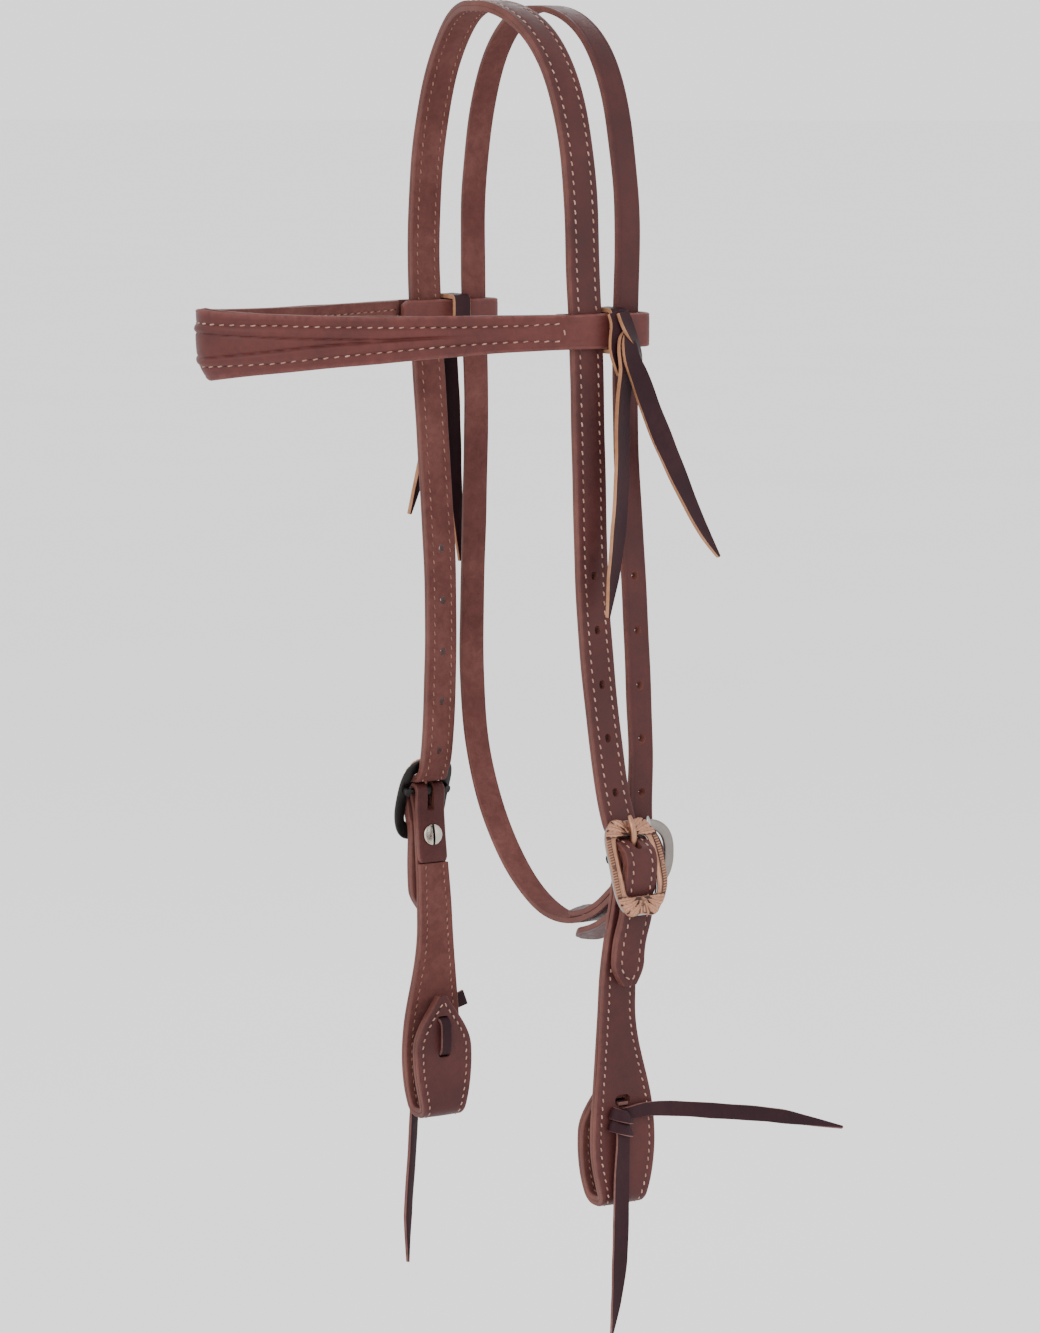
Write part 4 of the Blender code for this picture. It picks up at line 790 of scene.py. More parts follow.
def half_crown(side):
    b = buckle_of(side)
    rule = crown_rule(420)
    stop = np.interp(-(side["bar_z"] + 27.0), -rule[:, 2], np.arange(len(rule)) * 0.5)
    s = np.concatenate([np.arange(0, 120, 8), np.arange(120, stop, 20), [stop]])
    upper = at(rule, s)
    thread = b.point([p[0] for p in THREAD], [p[1] for p in THREAD])
    thread[:, 1] = np.linspace(21.8, BAR_Y + 0.45, len(THREAD))
    tail = np.array([(BAR_X + 1.9, 21.0, b.bar[2] - 37.5),
                     (BAR_X + 0.2, 21.0, b.bar[2] - 60.0)])
    return spline(np.vstack([upper, thread, tail]))


def crown_thickness(p, b):
    v, u = (p - b.bar) @ b.v, (p - b.bar) @ b.u
    squeeze = ease((v + 17) / 4.0) * (1 - ease((v + 3.4) / 3.0))
    return CROWN_THICK + (BUCKLE_SQUEEZE - CROWN_THICK) * np.where(np.abs(u) < 12, squeeze, 0)


def crown():
    halves = []
    for side in (NEAR, FAR):
        p = half_crown(side)
        halves.append((p, crown_thickness(p, buckle_of(side))))
    near, far = halves
    path = np.vstack([near[0][::-1], (far[0] * np.array([-1, 1, 1]))[1:]])
    thick = np.concatenate([near[1][::-1], far[1][1:]])
    d = run_length(path)
    top = len(near[0]) - 1
    end = np.minimum(d, d[-1] - d)
    half = CROWN_WIDTH / 2 * np.clip(0.42 + 0.58 * np.sin(
        np.clip(end / 11.0, 0, 1) * math.pi / 2), 0, 1)
    for side in (NEAR, FAR):
        b = buckle_of(side)
        local = path * np.array([side["sign"], 1, 1]) - b.bar
        v, u = local @ b.v, local @ b.u
        on = ease((v + 12.0) / 4.0) * (1 - ease((v - 16.0) / 4.0)) * (np.abs(u) < 12)
        half = half + 0.45 * np.where(end > 45, on, 0.0)
    drop = path[top + 13] - (path[top + 13, 0], 0, CROWN_THICK / 2)
    path -= drop * (1 - ease((np.abs(d - d[top]) - 6.5) / 40))[:, None]
    path[top - 13:top + 14, 2] = CROWN_THICK / 2
    path[top - 13:top + 14, 1] = 0.0
    face = Strap(path, (0, 1, 0), half, half, 0.0, thick / 2, crown_relief)
    lining = Strap(path, (0, 1, 0), half, half, -thick / 2, 0.0, None,
                   lambda s, a, f, r: groove(a, f, r, STITCH_INSET, 0.18))
    upper = face.build("crown_face", ("grain", "flesh", "edge"), 25, 5, 0.75, 0.22)
    lower = lining.build("crown_lining", ("flesh", "flesh", "edge"), 5, 21, 0.22, 0.75)
    cuts = []
    for side, sign in ((NEAR, -1), (FAR, 1)):
        for k in range(HOLES_OPEN):
            i = int(np.argmin(np.abs(d - (d[top] + sign * (HOLE_FIRST + k * HOLE_PITCH)))))
            n, b = face.nor[i], face.lat[i]
            cuts.append(punch(path[i], n, b, np.cross(n, b),
                              stadium(HOLE_DIAMETER + 0.8, HOLE_DIAMETER - 0.6), 4.2,
                              0.2 if side is NEAR else 0.75))
        b = buckle_of(side)
        local = path * np.array([side["sign"], 1, 1]) - b.bar
        angle = np.degrees(np.arctan2(local @ b.u, -(local @ b.v)))
        reach = np.hypot(local @ b.u, local @ b.v)
        i = int(np.argmin(np.abs(angle - SLOT_ANGLE) + np.where(reach < 9, 0, 999)))
        n, lat = face.nor[i], face.lat[i]
        cuts.append(prism(path[i], n, lat, np.cross(n, lat), stadium(8.8, 3.8), 5.0))
    whole = [joined(cuts)]
    cut(upper, whole)
    cut(lower, whole)
    length = d[-1]

    def offset(sign):
        def at_s(s):
            e = np.minimum(s, length - s)
            w = np.interp(s, d, half)
            return sign * (w - STITCH_INSET) * np.sin(np.clip((e - 1.8) / 5.0, 0, 1) * math.pi / 2)
        return at_s

    rows = [row_on(face, 2.2, length - 2.2, offset(q), True) for q in (-1, 1)]
    under = [row_on(lining, 2.2, length - 2.2, offset(q), False) for q in (-1, 1)]
    thread = sew("crown_stitches", rows, pitch=CROWN_PITCH, seed=11)
    # the stitches on the inner side get the darker thread copy: painted shade
    thread_in = sew("crown_stitches_inside", under, pitch=CROWN_PITCH, seed=12,
                    thread="thread_inside_shaded", radius=0.34)
    finish(upper, "headstall", "leather_grain", "crown_strap_face")
    finish(lower, "headstall", "leather_lining", "crown_strap_lining")
    finish(thread, "headstall", "leather_grain")
    finish(thread_in, "headstall", "leather_lining")


def finish(obj, body, slot, *nodes):
    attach(obj, body)
    if nodes:
        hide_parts(*nodes)


def throat():
    b = Buckle(THROAT_BAR, 0.0)
    h = THROAT_THICK / 2
    rule = throat_rule(400)
    near_stop = np.interp(355.0, -rule[:, 2], np.arange(len(rule)) * 0.5)
    near_s = np.concatenate([np.arange(0, 120, 8), np.arange(120, near_stop, 20)])
    near = at(rule, near_s)
    y0, y1 = 37.0, THROAT_BAR[1]
    loop = np.array([(x, y0 + (y1 - y0) * (x + 75) / 150, z) for x, z in LOOP_POINTS])
    pull = math.radians(THROAT_PULL)
    c = Buckle(THROAT_BAR, 0.0)
    c.v, c.u = (math.cos(pull) * b.v - math.sin(pull) * b.u,
                math.sin(pull) * b.v + math.cos(pull) * b.u)
    close, wrap_r = (THROAT_THICK + 0.45) / 2, 1.5 + GAP + h

    def spread(q):
        return close + (wrap_r - close) * (0.5 + 0.5 * math.cos(math.pi * min(q / 12, 1)))

    legs = np.array([16.0, 11.0, 6.5, 3.0, 0.0])
    leaf = c.point(legs, [spread(q) for q in legs])
    a = np.radians(np.arange(20, 161, 20))
    wrap = c.point(-wrap_r * np.sin(a), wrap_r * np.cos(a))
    down = c.point(legs[::-1], [-spread(q) for q in legs[::-1]])
    outer_path = spline(np.vstack([at(rule, np.array([300, 320.0])) * np.array([-1, 1, 1]),
                                   loop, leaf]))
    _, _, n = frames(outer_path, (0, 1, 0))
    d = run_length(outer_path)[-1] - run_length(outer_path)
    pick = [int(np.argmin(np.abs(d - q))) for q in np.arange(24, THROAT_FOLD + 1, 8)]
    lift = THROAT_THICK + 0.45 + FOLD_LIFT * np.sin(
        math.pi * np.clip((d[pick] - 32) / (THROAT_FOLD - 32), 0, 1))
    lift = lift + 1.1 * ease((d[pick] - 36) / (THROAT_FOLD - 36))
    back = np.array([outer_path[i] - o * n[i] for i, o in zip(pick, lift)])
    thread = b.point([-24.0, -16.0, -11.8, -8.0, -4.6, 0.0, 4.8, 8.4, 11.1, 14.0, 18.0],
                     [-3.5, -3.35, -2.5, 1.3, 4.75, 6.5, 5.4, 2.1, -1.9, -4.3, -6.9])
    pick = [int(np.argmin(np.abs(d - q))) for q in (26, 36, 48, 62, THROAT_TAIL)]
    tail = np.array([outer_path[i] + o * n[i] for i, o in zip(pick, (5.1, 5.7, 6.3, 7.0, 7.6))])
    far = at(rule, np.concatenate([np.arange(0, 120, 8), np.arange(120, 300, 20)])[1:])
    far = far * np.array([-1, 1, 1])
    head = np.vstack([tail[::-1], thread[::-1], near[::-1]])
    body = np.vstack([far, at(rule, np.array([300, 320.0])) * np.array([-1, 1, 1]), loop,
                      leaf, wrap, down, back])
    head[:, 1] = np.where(np.arange(len(head)) < len(tail) + len(thread), THROAT_BAR[1],
                          head[:, 1])
    path = spline(np.vstack([head, body]))
    s = run_length(path)
    half = THROAT_WIDTH / 2 * (0.3 + 0.7 * np.sin(np.clip(s / 12.0, 0, 1) * math.pi / 2))
    half = half * (0.75 + 0.25 * np.sin(np.clip((s[-1] - s) / 4.0, 0, 1) * math.pi / 2))

    def bead(s_, a_, f, r):
        # a creased border line along each edge
        return (-0.16 * (np.exp(-((a_ + f - 1.9) / 0.28) ** 2)
                         + np.exp(-((r - a_ - 1.9) / 0.28) ** 2))
                + 0.10 * np.sin(math.pi * np.clip((a_ + f) / (f + r), 0, 1)) ** 2)

    # both loose ends turn a little to the front
    _, lat, nor = frames(path, (0, 1, 0))
    turn = np.radians(24.0 * (1 - ease(s / 45)) + 12.0 * ease((s - s[-1] + 48) / 48))[:, None]
    strap = Strap(path, np.cos(turn) * lat + np.sin(turn) * nor, half, half, -h, h, bead)
    obj = strap.build("throatlatch", ("grain", "flesh", "edge"), 27, 7, 0.7, 0.45)
    cuts = []
    top = int(np.argmin(np.abs(path[:, 0]) + np.where(path[:, 2] > -10, 0, 999)))
    for k in range(HOLES_OPEN):
        i = int(np.argmin(np.abs(s - (s[top] - THROAT_HOLE_FIRST - k * HOLE_PITCH))))
        nn, bb = strap.nor[i], strap.lat[i]
        cuts.append(punch(path[i], nn, bb, np.cross(nn, bb), stadium(5.0, 4.0), 1.7, 0.02))
    local = path - b.bar
    angle = np.degrees(np.arctan2(local @ b.u, -(local @ b.v)))
    reach = np.hypot(local @ b.u, local @ b.v)
    i = int(np.argmin(np.abs(angle - 52) + np.where((reach < 9) & (reach > 5.2), 0, 999)))
    nn, bb = strap.nor[i], strap.lat[i]
    cuts.append(prism(path[i], nn, bb, np.cross(nn, bb), stadium(13.0, 3.8), 2.2))
    i = int(np.argmin(np.abs(d - 27.0)))
    centre = outer_path[i] - (THROAT_THICK + 0.45) / 2 * n[i]
    cuts.append(prism(centre, n[i], np.array([0, 1.0, 0]), np.cross(n[i], (0, 1, 0)),
                      stadium(5.6, 5.6), 3.9))
    cut(obj, [joined(cuts), slot_round_bar(c, 3.7, 11.0, 6.0, 4.75)])
    finish(obj, "headstall", "leather_grain", "throatlatch_strap")
    return centre, n[i]


def slot_round_bar(b, width, inner_down, outer_down, radius):
    outline = [(inner_down, -radius)]
    for a in np.linspace(-math.pi / 2, math.pi / 2, 13):
        outline.append((-radius * math.cos(a), radius * math.sin(a)))
    outline.append((outer_down, radius))
    n = len(outline)
    verts = np.vstack([[b.point(v, u, y) for v, u in outline] for y in (-width / 2, width / 2)])
    faces = [(k, (k + 1) % n, n + (k + 1) % n, n + k) for k in range(n)]
    return verts, faces + [tuple(range(n)), tuple(range(n, 2 * n))]


# ================================================================== browband
def band_heights(u):
    u = np.clip(u, 0, 1)
    return BAND_TOP + BAND_FRONT_RISE * u ** 4, BAND_BOTTOM - BAND_FRONT_DROP * u ** 1.45


def band_half(slack):
    h = BAND_PLY / 2
    p0, p1 = np.array([BAND_SIDE_X - 0.1, -0.6]), np.array([BAND_SIDE_X - 16.0, -44.0])
    p2, p3 = np.array([30.0, -BAND_DEPTH]), np.array([0.0, -BAND_DEPTH])
    t = np.linspace(0, 1, 220)[:, None]
    plan = ((1 - t) ** 3 * p0 + 3 * (1 - t) ** 2 * t * p1 + 3 * (1 - t) * t * t * p2
            + t ** 3 * p3)
    u = run_length(plan)
    u = u / u[-1]
    z = np.array(band_heights(u)).T
    half = np.column_stack([plan, z.mean(axis=1)])
    x_out, q = BAND_SIDE_X - h, slack
    ends = np.array([(66.0, -6.5), (66.8, 0.0), (66.7, 9.0), (66.2, 17.0), (63.6, 27.5),
                     (63.0, 33.0), (62.8, 38.0 + q / 2), (63.6, 41.7 + q),
                     (66.4, 43.1 + q), (70.8, 43.1 + q), (74.1, 41.2 + q),
                     (x_out, 37.0 + q), (x_out, 26.0), (x_out, 13.0), (x_out, 5.0)])
    ends = np.column_stack([ends, np.full(len(ends), (BAND_TOP + BAND_BOTTOM) / 2)])
    _, _, normal = frames(half, (0, 0, 1))
    inner = half - normal * h
    path = spline(np.vstack([ends, inner[::12], inner[-1:]]))
    total = run_length(path)
    begin = total[int(np.argmin(np.abs(path[:, 1] - 1.4) + np.where(path[:, 0] > 71, 0, 999)))]
    around = (total - begin) / (total[-1] - begin)
    top, bottom = band_heights(around)
    path[:, 2] = (top + bottom) / 2
    return path, (top - bottom) / 2, around


def band_inset(u):
    """Distance of the stitch rows from the edge: wide at the brow and narrow
    at the ends."""
    return np.interp(u, (-0.2, 0.0, 0.12, 0.3, 0.8, 1.0), (3.5, 3.5, 4.6, 5.1, 5.0, 6.6))


def browband():
    h = BAND_PLY / 2
    near, near_h, near_u = band_half(BAND_END_SLACK[0])
    far, far_h, far_u = band_half(BAND_END_SLACK[1])
    path = np.vstack([near, far[-2::-1] * np.array([-1, 1, 1])])
    height = np.concatenate([near_h, far_h[-2::-1]])
    around = np.concatenate([near_u, far_u[-2::-1]])
    s = run_length(path)
    end = np.minimum(s, s[-1] - s)
    height = height * (0.7 + 0.3 * np.sin(np.clip(end / 4.0, 0, 1) * math.pi / 2))

    def relief(s_, a, f, r):
        """Stitch channels; between them a raised pad, split by two creases that
        part towards the brow."""
        u = np.interp(s_, s, around)
        w = (r - a) / np.maximum(f + r, 1e-6)          # 0 at the top edge
        inset = band_inset(u)
        g = np.where(u > -0.02, 1.0, 0.0)
        h1, h2 = inset / (f + r), 1 - inset / (f + r)
        out = -0.28 * g * (np.exp(-((a - (r - inset)) / 0.6) ** 2)
                           + np.exp(-((a - (inset - f)) / 0.6) ** 2))
        c1 = np.interp(u, (0.0, 0.5, 0.71, 0.85, 1.0), (0.50, 0.495, 0.42, 0.37, 0.32))
        c2 = np.interp(u, (0.0, 0.5, 0.71, 0.85, 1.0), (0.50, 0.515, 0.57, 0.63, 0.68))
        grow = ease((u - 0.02) / 0.2)
        up = np.clip((w - h1) / np.maximum(c1 - h1, 1e-3), 0, 1)
        dn = np.clip((h2 - w) / np.maximum(h2 - c2, 1e-3), 0, 1)
        mid = (w > c1) & (w < c2)
        pad = np.where(w <= c1, np.sin(math.pi * np.clip(up, 0, 1) * 0.82) ** 0.8,
                       np.where(w >= c2, np.sin(math.pi * np.clip(dn, 0, 1) * 0.82) ** 0.8, 0.0))
        inner = 0.62 + 0.10 * np.sin(math.pi * np.clip((w - c1) / np.maximum(c2 - c1, 1e-3), 0, 1))
        pad = np.where(mid, inner, pad)
        single = np.sin(math.pi * np.clip((w - h1) / np.maximum(h2 - h1, 1e-3), 0, 1)) ** 0.7
        split = ease((u - 0.22) / 0.25)
        pad = single * (1 - split) + pad * split
        width = f + r
        crease = (0.85 * np.exp(-((w - c1) * width / 0.55) ** 2)
                  + 0.95 * np.exp(-((w - c2) * width / 0.60) ** 2))
        out = out + (1.75 - 0.6 * ease((u - 0.80) / 0.2)) * grow * pad - 0.62 * split * crease
        edge = np.minimum(w, 1 - w) * (f + r)
        return out - 0.14 * np.exp(-((edge - 1.5) / 0.3) ** 2)

    # the lower edge tucks in towards the brow
    _, _, outward = frames(path, (0, 0, 1))
    tilt = np.radians(3.5) * ease((around - 0.55) / 0.4)
    upright = np.cos(tilt)[:, None] * np.array([0, 0, 1.0]) + np.sin(tilt)[:, None] * outward
    face = Strap(path, upright, height, height, -h, h, relief)
    # keep the raised pad inside the room the solid has
    face.hi = face.hi - 0.45 * ease((around - 0.02) / 0.2)
    first, last = (int(np.argmin(np.abs(p[:, 1] - y) + np.where(p[:, 0] > 70, 0, 999)))
                   for p, y in ((near, LINING_ENDS[0]), (far, LINING_ENDS[1])))
    part = slice(first, len(path) - last)
    lining = Strap(path[part], upright[part], height[part], height[part],
                   -h - GAP - BAND_LINING, -h, None,
                   lambda s_, a, f, r: groove(a, f, r, 4.6, 0.15))

    def curl(base):
        # the lower border curls in at the brow
        def of(s_, a, f, r):
            u, w = np.interp(s_ + base, s, around), (r - a) / np.maximum(f + r, 1e-6)
            return -3.0 * ease((w - 0.74) / 0.30) ** 1.3 * ease((u - 0.5) / 0.4)
        return of

    face.bend, lining.bend = curl(0.0), curl(s[first])
    # the browband face gets the lighter grain copy: painted light
    front = face.build("browband_face", ("band_grain_lit", "flesh", "edge"), 57, 5, 0.9, 0.3,
                       4.0, 3.2)
    back = lining.build("browband_lining", ("flesh", "flesh", "edge"), 5, 25, 0.25, 0.7,
                        4.0, 4.5)
    begin, stop = s[first] + 2.2, s[len(path) - last - 1] - 2.2

    def top_row(q):
        return np.interp(q, s, height) - band_inset(np.interp(q, s, around))

    rows = [row_on(face, begin, stop, top_row), row_on(face, begin, stop, lambda q: -top_row(q))]
    base = s[first]
    inside = [row_on(lining, begin - base, stop - base, lambda q: top_row(q + base), False),
              row_on(lining, begin - base, stop - base, lambda q: -top_row(q + base), False)]
    for q in (begin - 0.9, stop + 0.9):
        a = np.linspace(-1, 1, 30) * float(top_row(np.array([q]))[0])
        rows.append(face.surface(np.full(30, q), a))
        inside.append(lining.surface(np.full(30, q - base), a, 0.0, False))
    thread = sew("browband_stitches", rows, pitch=BAND_PITCH, seed=23)
    # the stitches on the inner side get the darker thread copy: painted shade
    thread_in = sew("browband_stitches_inside", inside, pitch=BAND_PITCH, seed=24,
                    thread="thread_inside_shaded", radius=0.34)
    finish(thread_in, "browband", "leather_lining")
    finish(front, "browband", "leather_grain", "browband_face")
    finish(back, "browband", "leather_lining", "browband_lining")
    finish(thread, "browband", "leather_grain")


# ============================================================== cheek straps
def cheek_middle(side):
    z0 = side["bar_z"]
    bottom = z0 - side["length"]
    r = (LOOP_GAP - LOOP_FLOOR) / 2
    cx, cz = 80.2, bottom + 2.55 + r
    a = np.radians(np.arange(180, 271, 22.5))
    fold = np.column_stack([cx - LOOP_FLOOR / 2 + r * np.cos(a), cz + r * np.sin(a)])
    fold = np.vstack([fold, fold[::-1] * (-1, 1) + (2 * cx, 0)])
    tab = np.array([(77.2, bottom + TAB_LENGTH), (76.0, bottom + TAB_LENGTH - 14),
                    (75.1, bottom + 33), (74.4, bottom + 20)])
    up = np.array([(86.2, bottom + 20), (85.9, bottom + 34), (85.2, bottom + 52),
                   (84.5, bottom + 74), (85.0, bottom + 98), (88.1, z0 - 30.0),
                   (90.0, z0 - 14.0), (BAR_X, z0)])
    p = spline(np.vstack([tab, fold, up]))
    low = int(np.argmin(np.abs(p[:, 0] - cx) + np.maximum(0, p[:, 1] - cz)))
    p[low - LOOP_REST - 1:low + LOOP_REST + 2, 1] = bottom + 2.55
    return np.column_stack([p[:, 0], np.zeros(len(p)), p[:, 1]])


def cheek_outline(side, z, inner_leaf):
    z0, bottom = side["bar_z"], side["bar_z"] - side["length"]
    rise = z - bottom
    y = side["cheek_y"] + (BAR_Y - side["cheek_y"]) * ease((z - z0 + 60) / 60)
    y = y + (side["paddle_y"] - side["cheek_y"]) * ease((95 - rise) / 50)
    w = CHEEK_WIDTH / 2 + CHEEK_FLARE * ease((z0 - 20 - z) / 50)
    p, f = side["paddle"] / 2, FOLD_WIDTH / 2
    half = w + (p - w) * ease((98 - rise) / 66.0)
    half = np.where(rise < 32, f + (p - f) * np.sin(np.clip(rise / 32, 0, 1) * math.pi / 2), half)
    tip = TAB_LENGTH - rise
    tab = 2.2 + (p - 2.2) * np.sin(np.clip(tip / 27.0, 0, 1) * math.pi / 2) ** 1.15
    half = np.where(inner_leaf & (rise >= 32), np.minimum(tab, p), half)
    return y - half, y + half


def cheek(side, label):
    b = buckle_of(side)
    sign = side["sign"]
    body = f"{label}_cheek"
    mid = cheek_middle(side)
    lowest = int(np.argmin(mid[:, 2])) + LOOP_REST + 1
    inner_leaf = np.arange(len(mid)) < lowest
    lo, hi = cheek_outline(side, mid[:, 2], inner_leaf)
    _, _, n = frames(mid, (0, 1, 0))
    off = GAP / 2 + FACE_PLY / 2
    below = np.linalg.norm(mid - np.array([BAR_X, 0, side["bar_z"]]), axis=1)
    below[:lowest] = 1e3
    spread = BAR_RADIUS + GAP + FACE_PLY / 2
    gap = off + (spread - off) * (0.5 + 0.5 * np.cos(math.pi * np.clip(below / 11.0, 0, 1)))
    outer = mid + gap[:, None] * n
    inner = mid - gap[:, None] * n
    end = len(mid) - 1
    heading = math.atan2(n[end, 2], n[end, 0])
    a = heading + np.radians(np.arange(10, 171, 10))
    centre = mid[end]
    wrap = np.column_stack([centre[0] + spread * np.cos(a), np.zeros(len(a)),
                            centre[2] + spread * np.sin(a)])
    stop = int(np.argmin(np.abs(below - CHAPE_LENGTH)))
    path = np.vstack([outer, wrap, inner[end:stop:-1]])
    lo_all = np.concatenate([lo, np.full(len(a), lo[end]), lo[end:stop:-1]])
    hi_all = np.concatenate([hi, np.full(len(a), hi[end]), hi[end:stop:-1]])
    tip = np.clip(run_length(path)[-1] - run_length(path), 0, 3.0) / 3.0
    middle = (lo_all + hi_all) / 2
    half = (hi_all - lo_all) / 2 * (0.86 + 0.14 * np.sin(tip * math.pi / 2))
    s = run_length(path)
    s_chape = s[len(outer) + len(wrap) - 1]
    s_over = s[len(outer) - 1]

    def relief(s_, a_, f, r):
        on = 1 - ease((s_ - s_over + 34) / 3.0)
        t = (a_ + f) / np.maximum(f + r, 1e-6)
        line = -0.14 * (np.exp(-((a_ + f - 1.7) / 0.3) ** 2)
                        + np.exp(-((r - a_ - 1.7) / 0.3) ** 2))
        return (groove(a_, f, r, STITCH_INSET + 0.1) * on + line * (1 - on)
                + 0.16 * np.sin(math.pi * np.clip(t, 0, 1)) ** 2)

    inner_face = np.where((s > s_over - 30) | (np.arange(len(path)) >= len(outer)), 0.0, 0.12)
    face = Strap(path, (0, 1, 0), half - middle, half + middle, -FACE_PLY / 2 - inner_face,
                 FACE_PLY / 2, relief)
    below_end = stop + 1
    lining = Strap(mid[:below_end], (0, 1, 0), -lo[:below_end], hi[:below_end],
                   -GAP / 2 - LINING_PLY, -0.02, None,
                   lambda s_, a_, f, r: groove(a_, f, r, STITCH_INSET + 0.1, 0.18))
    upper = face.build(f"{label}_cheek_face", ("grain", "flesh", "edge"), 27, 5, 0.75, 0.22,
                       5.0, 4.0, sign=sign)
    lower = lining.build(f"{label}_cheek_lining", ("flesh", "flesh", "edge"), 5, 21, 0.22,
                         0.7, 5.0, 4.0, sign=sign)
    bottom = side["bar_z"] - side["length"]
    cuts = []
    for k in (0, 1):
        z = bottom + TIE_HOLE_RISE + k * TIE_HOLES
        cuts.append(prism(np.array([80.4, side["tie_y"], z]), np.array([1.0, 0, 0]),
                          np.array([0, 0, 1.0]), np.array([0, 1.0, 0]), stadium(6.6, 3.6), 12.0))
    i = int(np.argmin(np.abs(below - SCREW_DROP)))
    screw_at = mid[i] + np.array([0, (lo[i] + hi[i]) / 2, 0])
    cuts.append(prism(screw_at, n[i], np.array([0, 1.0, 0]), np.cross(n[i], (0, 1, 0)),
                      stadium(5.6, 5.6), 5.0))
    c = Buckle(b.bar, 0.0)
    c.v = -(mid[end] - mid[i]) / np.linalg.norm(mid[end] - mid[i])
    c.u = np.array([-c.v[2], 0, c.v[0]])
    slot = slot_round_bar(c, 4.0, 12.0, 5.6, 5.4)
    both = [mirrored(joined(cuts), sign), mirrored(slot, sign)]
    pulled = prism(np.array([87.0, side["tie_y"], bottom + TIE_HOLE_RISE + TIE_HOLES + 1.1]),
                   np.array([1.0, 0, 0]), np.array([0, 0, 1.0]), np.array([0, 1.0, 0]),
                   stadium(8.4, 5.4, 28), 2.5)
    cut(upper, both + [mirrored(pulled, sign)])
    cut(lower, both[:1])

    # stitch rows follow the outline, round the tip of the tab
    mid_s = run_length(mid)
    inset = STITCH_INSET + 0.1
    limit = s_over - 40.0
    outline = []
    for e, q in ((lo, 1), (hi, -1)):
        slope = np.gradient(e, mid_s)
        run = np.hypot(1, slope)
        outline.append(np.column_stack([mid_s - q * inset * slope / run, e + q * inset / run]))
    rows, inside = [], []
    tab_s = inset * 0.95
    for k, line in enumerate(outline):
        keep = line[:, 0] > tab_s
        line = line[keep]
        # stop where the two rows would cross at the tip
        other = outline[1 - k]
        other_a = np.interp(line[:, 0], other[:, 0], other[:, 1])
        good = (other_a - line[:, 1]) * (1 if k == 0 else -1) > 0.2
        start = int(np.argmax(good))
        line = line[start:]
        line = line[line[:, 0] < limit]
        step = at(line, np.arange(0, run_length(line)[-1], 0.8))
        y_mid = np.interp(step[:, 0], mid_s, (lo + hi) / 2)
        # the face follows its own path, a little longer round the fold
        s_face = np.interp(step[:, 0], mid_s, s[:len(mid)])
        rows.append(face.surface(s_face, step[:, 1]))
        inside.append(lining.surface(step[:, 0], step[:, 1], 0.0, False))
    thread = sew(f"{label}_cheek_stitches", rows, sign, CHEEK_PITCH, 31)
    # the stitches on the inner side get the darker thread copy: painted shade
    thread_in = sew(f"{label}_cheek_stitches_inside", inside, sign, CHEEK_PITCH, 32,
                    "thread_inside_shaded", 0.34)
    finish(thread_in, body, "leather_lining")
    finish(upper, body, "leather_grain", f"{label}_cheek_face")
    finish(lower, body, "leather_lining", f"{label}_cheek_lining")
    finish(thread, body, "leather_grain")
    return screw_at, n[i]


# ================================================================== hardware
def superellipse(phi, half_y, half_v, centre, power):
    c, s = np.cos(phi), np.sin(phi)
    return (half_y * np.sign(c) * np.abs(c) ** (2 / power),
            centre + half_v * np.sign(s) * np.abs(s) ** (2 / power))


def plate_back(v):
    t = (v - FRAME_TOP) / (FRAME_BOTTOM - FRAME_TOP)
    return -0.8 + t + FRAME_ARCH * np.sin(math.pi * np.clip(t, 0, 1))


def even_phi(count):
    """Angles that put the ring's points at even distances along the outline."""
    phi = np.linspace(0, 2 * math.pi, 4001)
    y, v = superellipse(phi, FRAME_HALF, (FRAME_BOTTOM - FRAME_TOP) / 2,
                        (FRAME_BOTTOM + FRAME_TOP) / 2, 3.4)
    d = np.concatenate([[0], np.cumsum(np.hypot(np.diff(y), np.diff(v)))])
    return np.interp(np.arange(count) * d[-1] / count, d, phi)


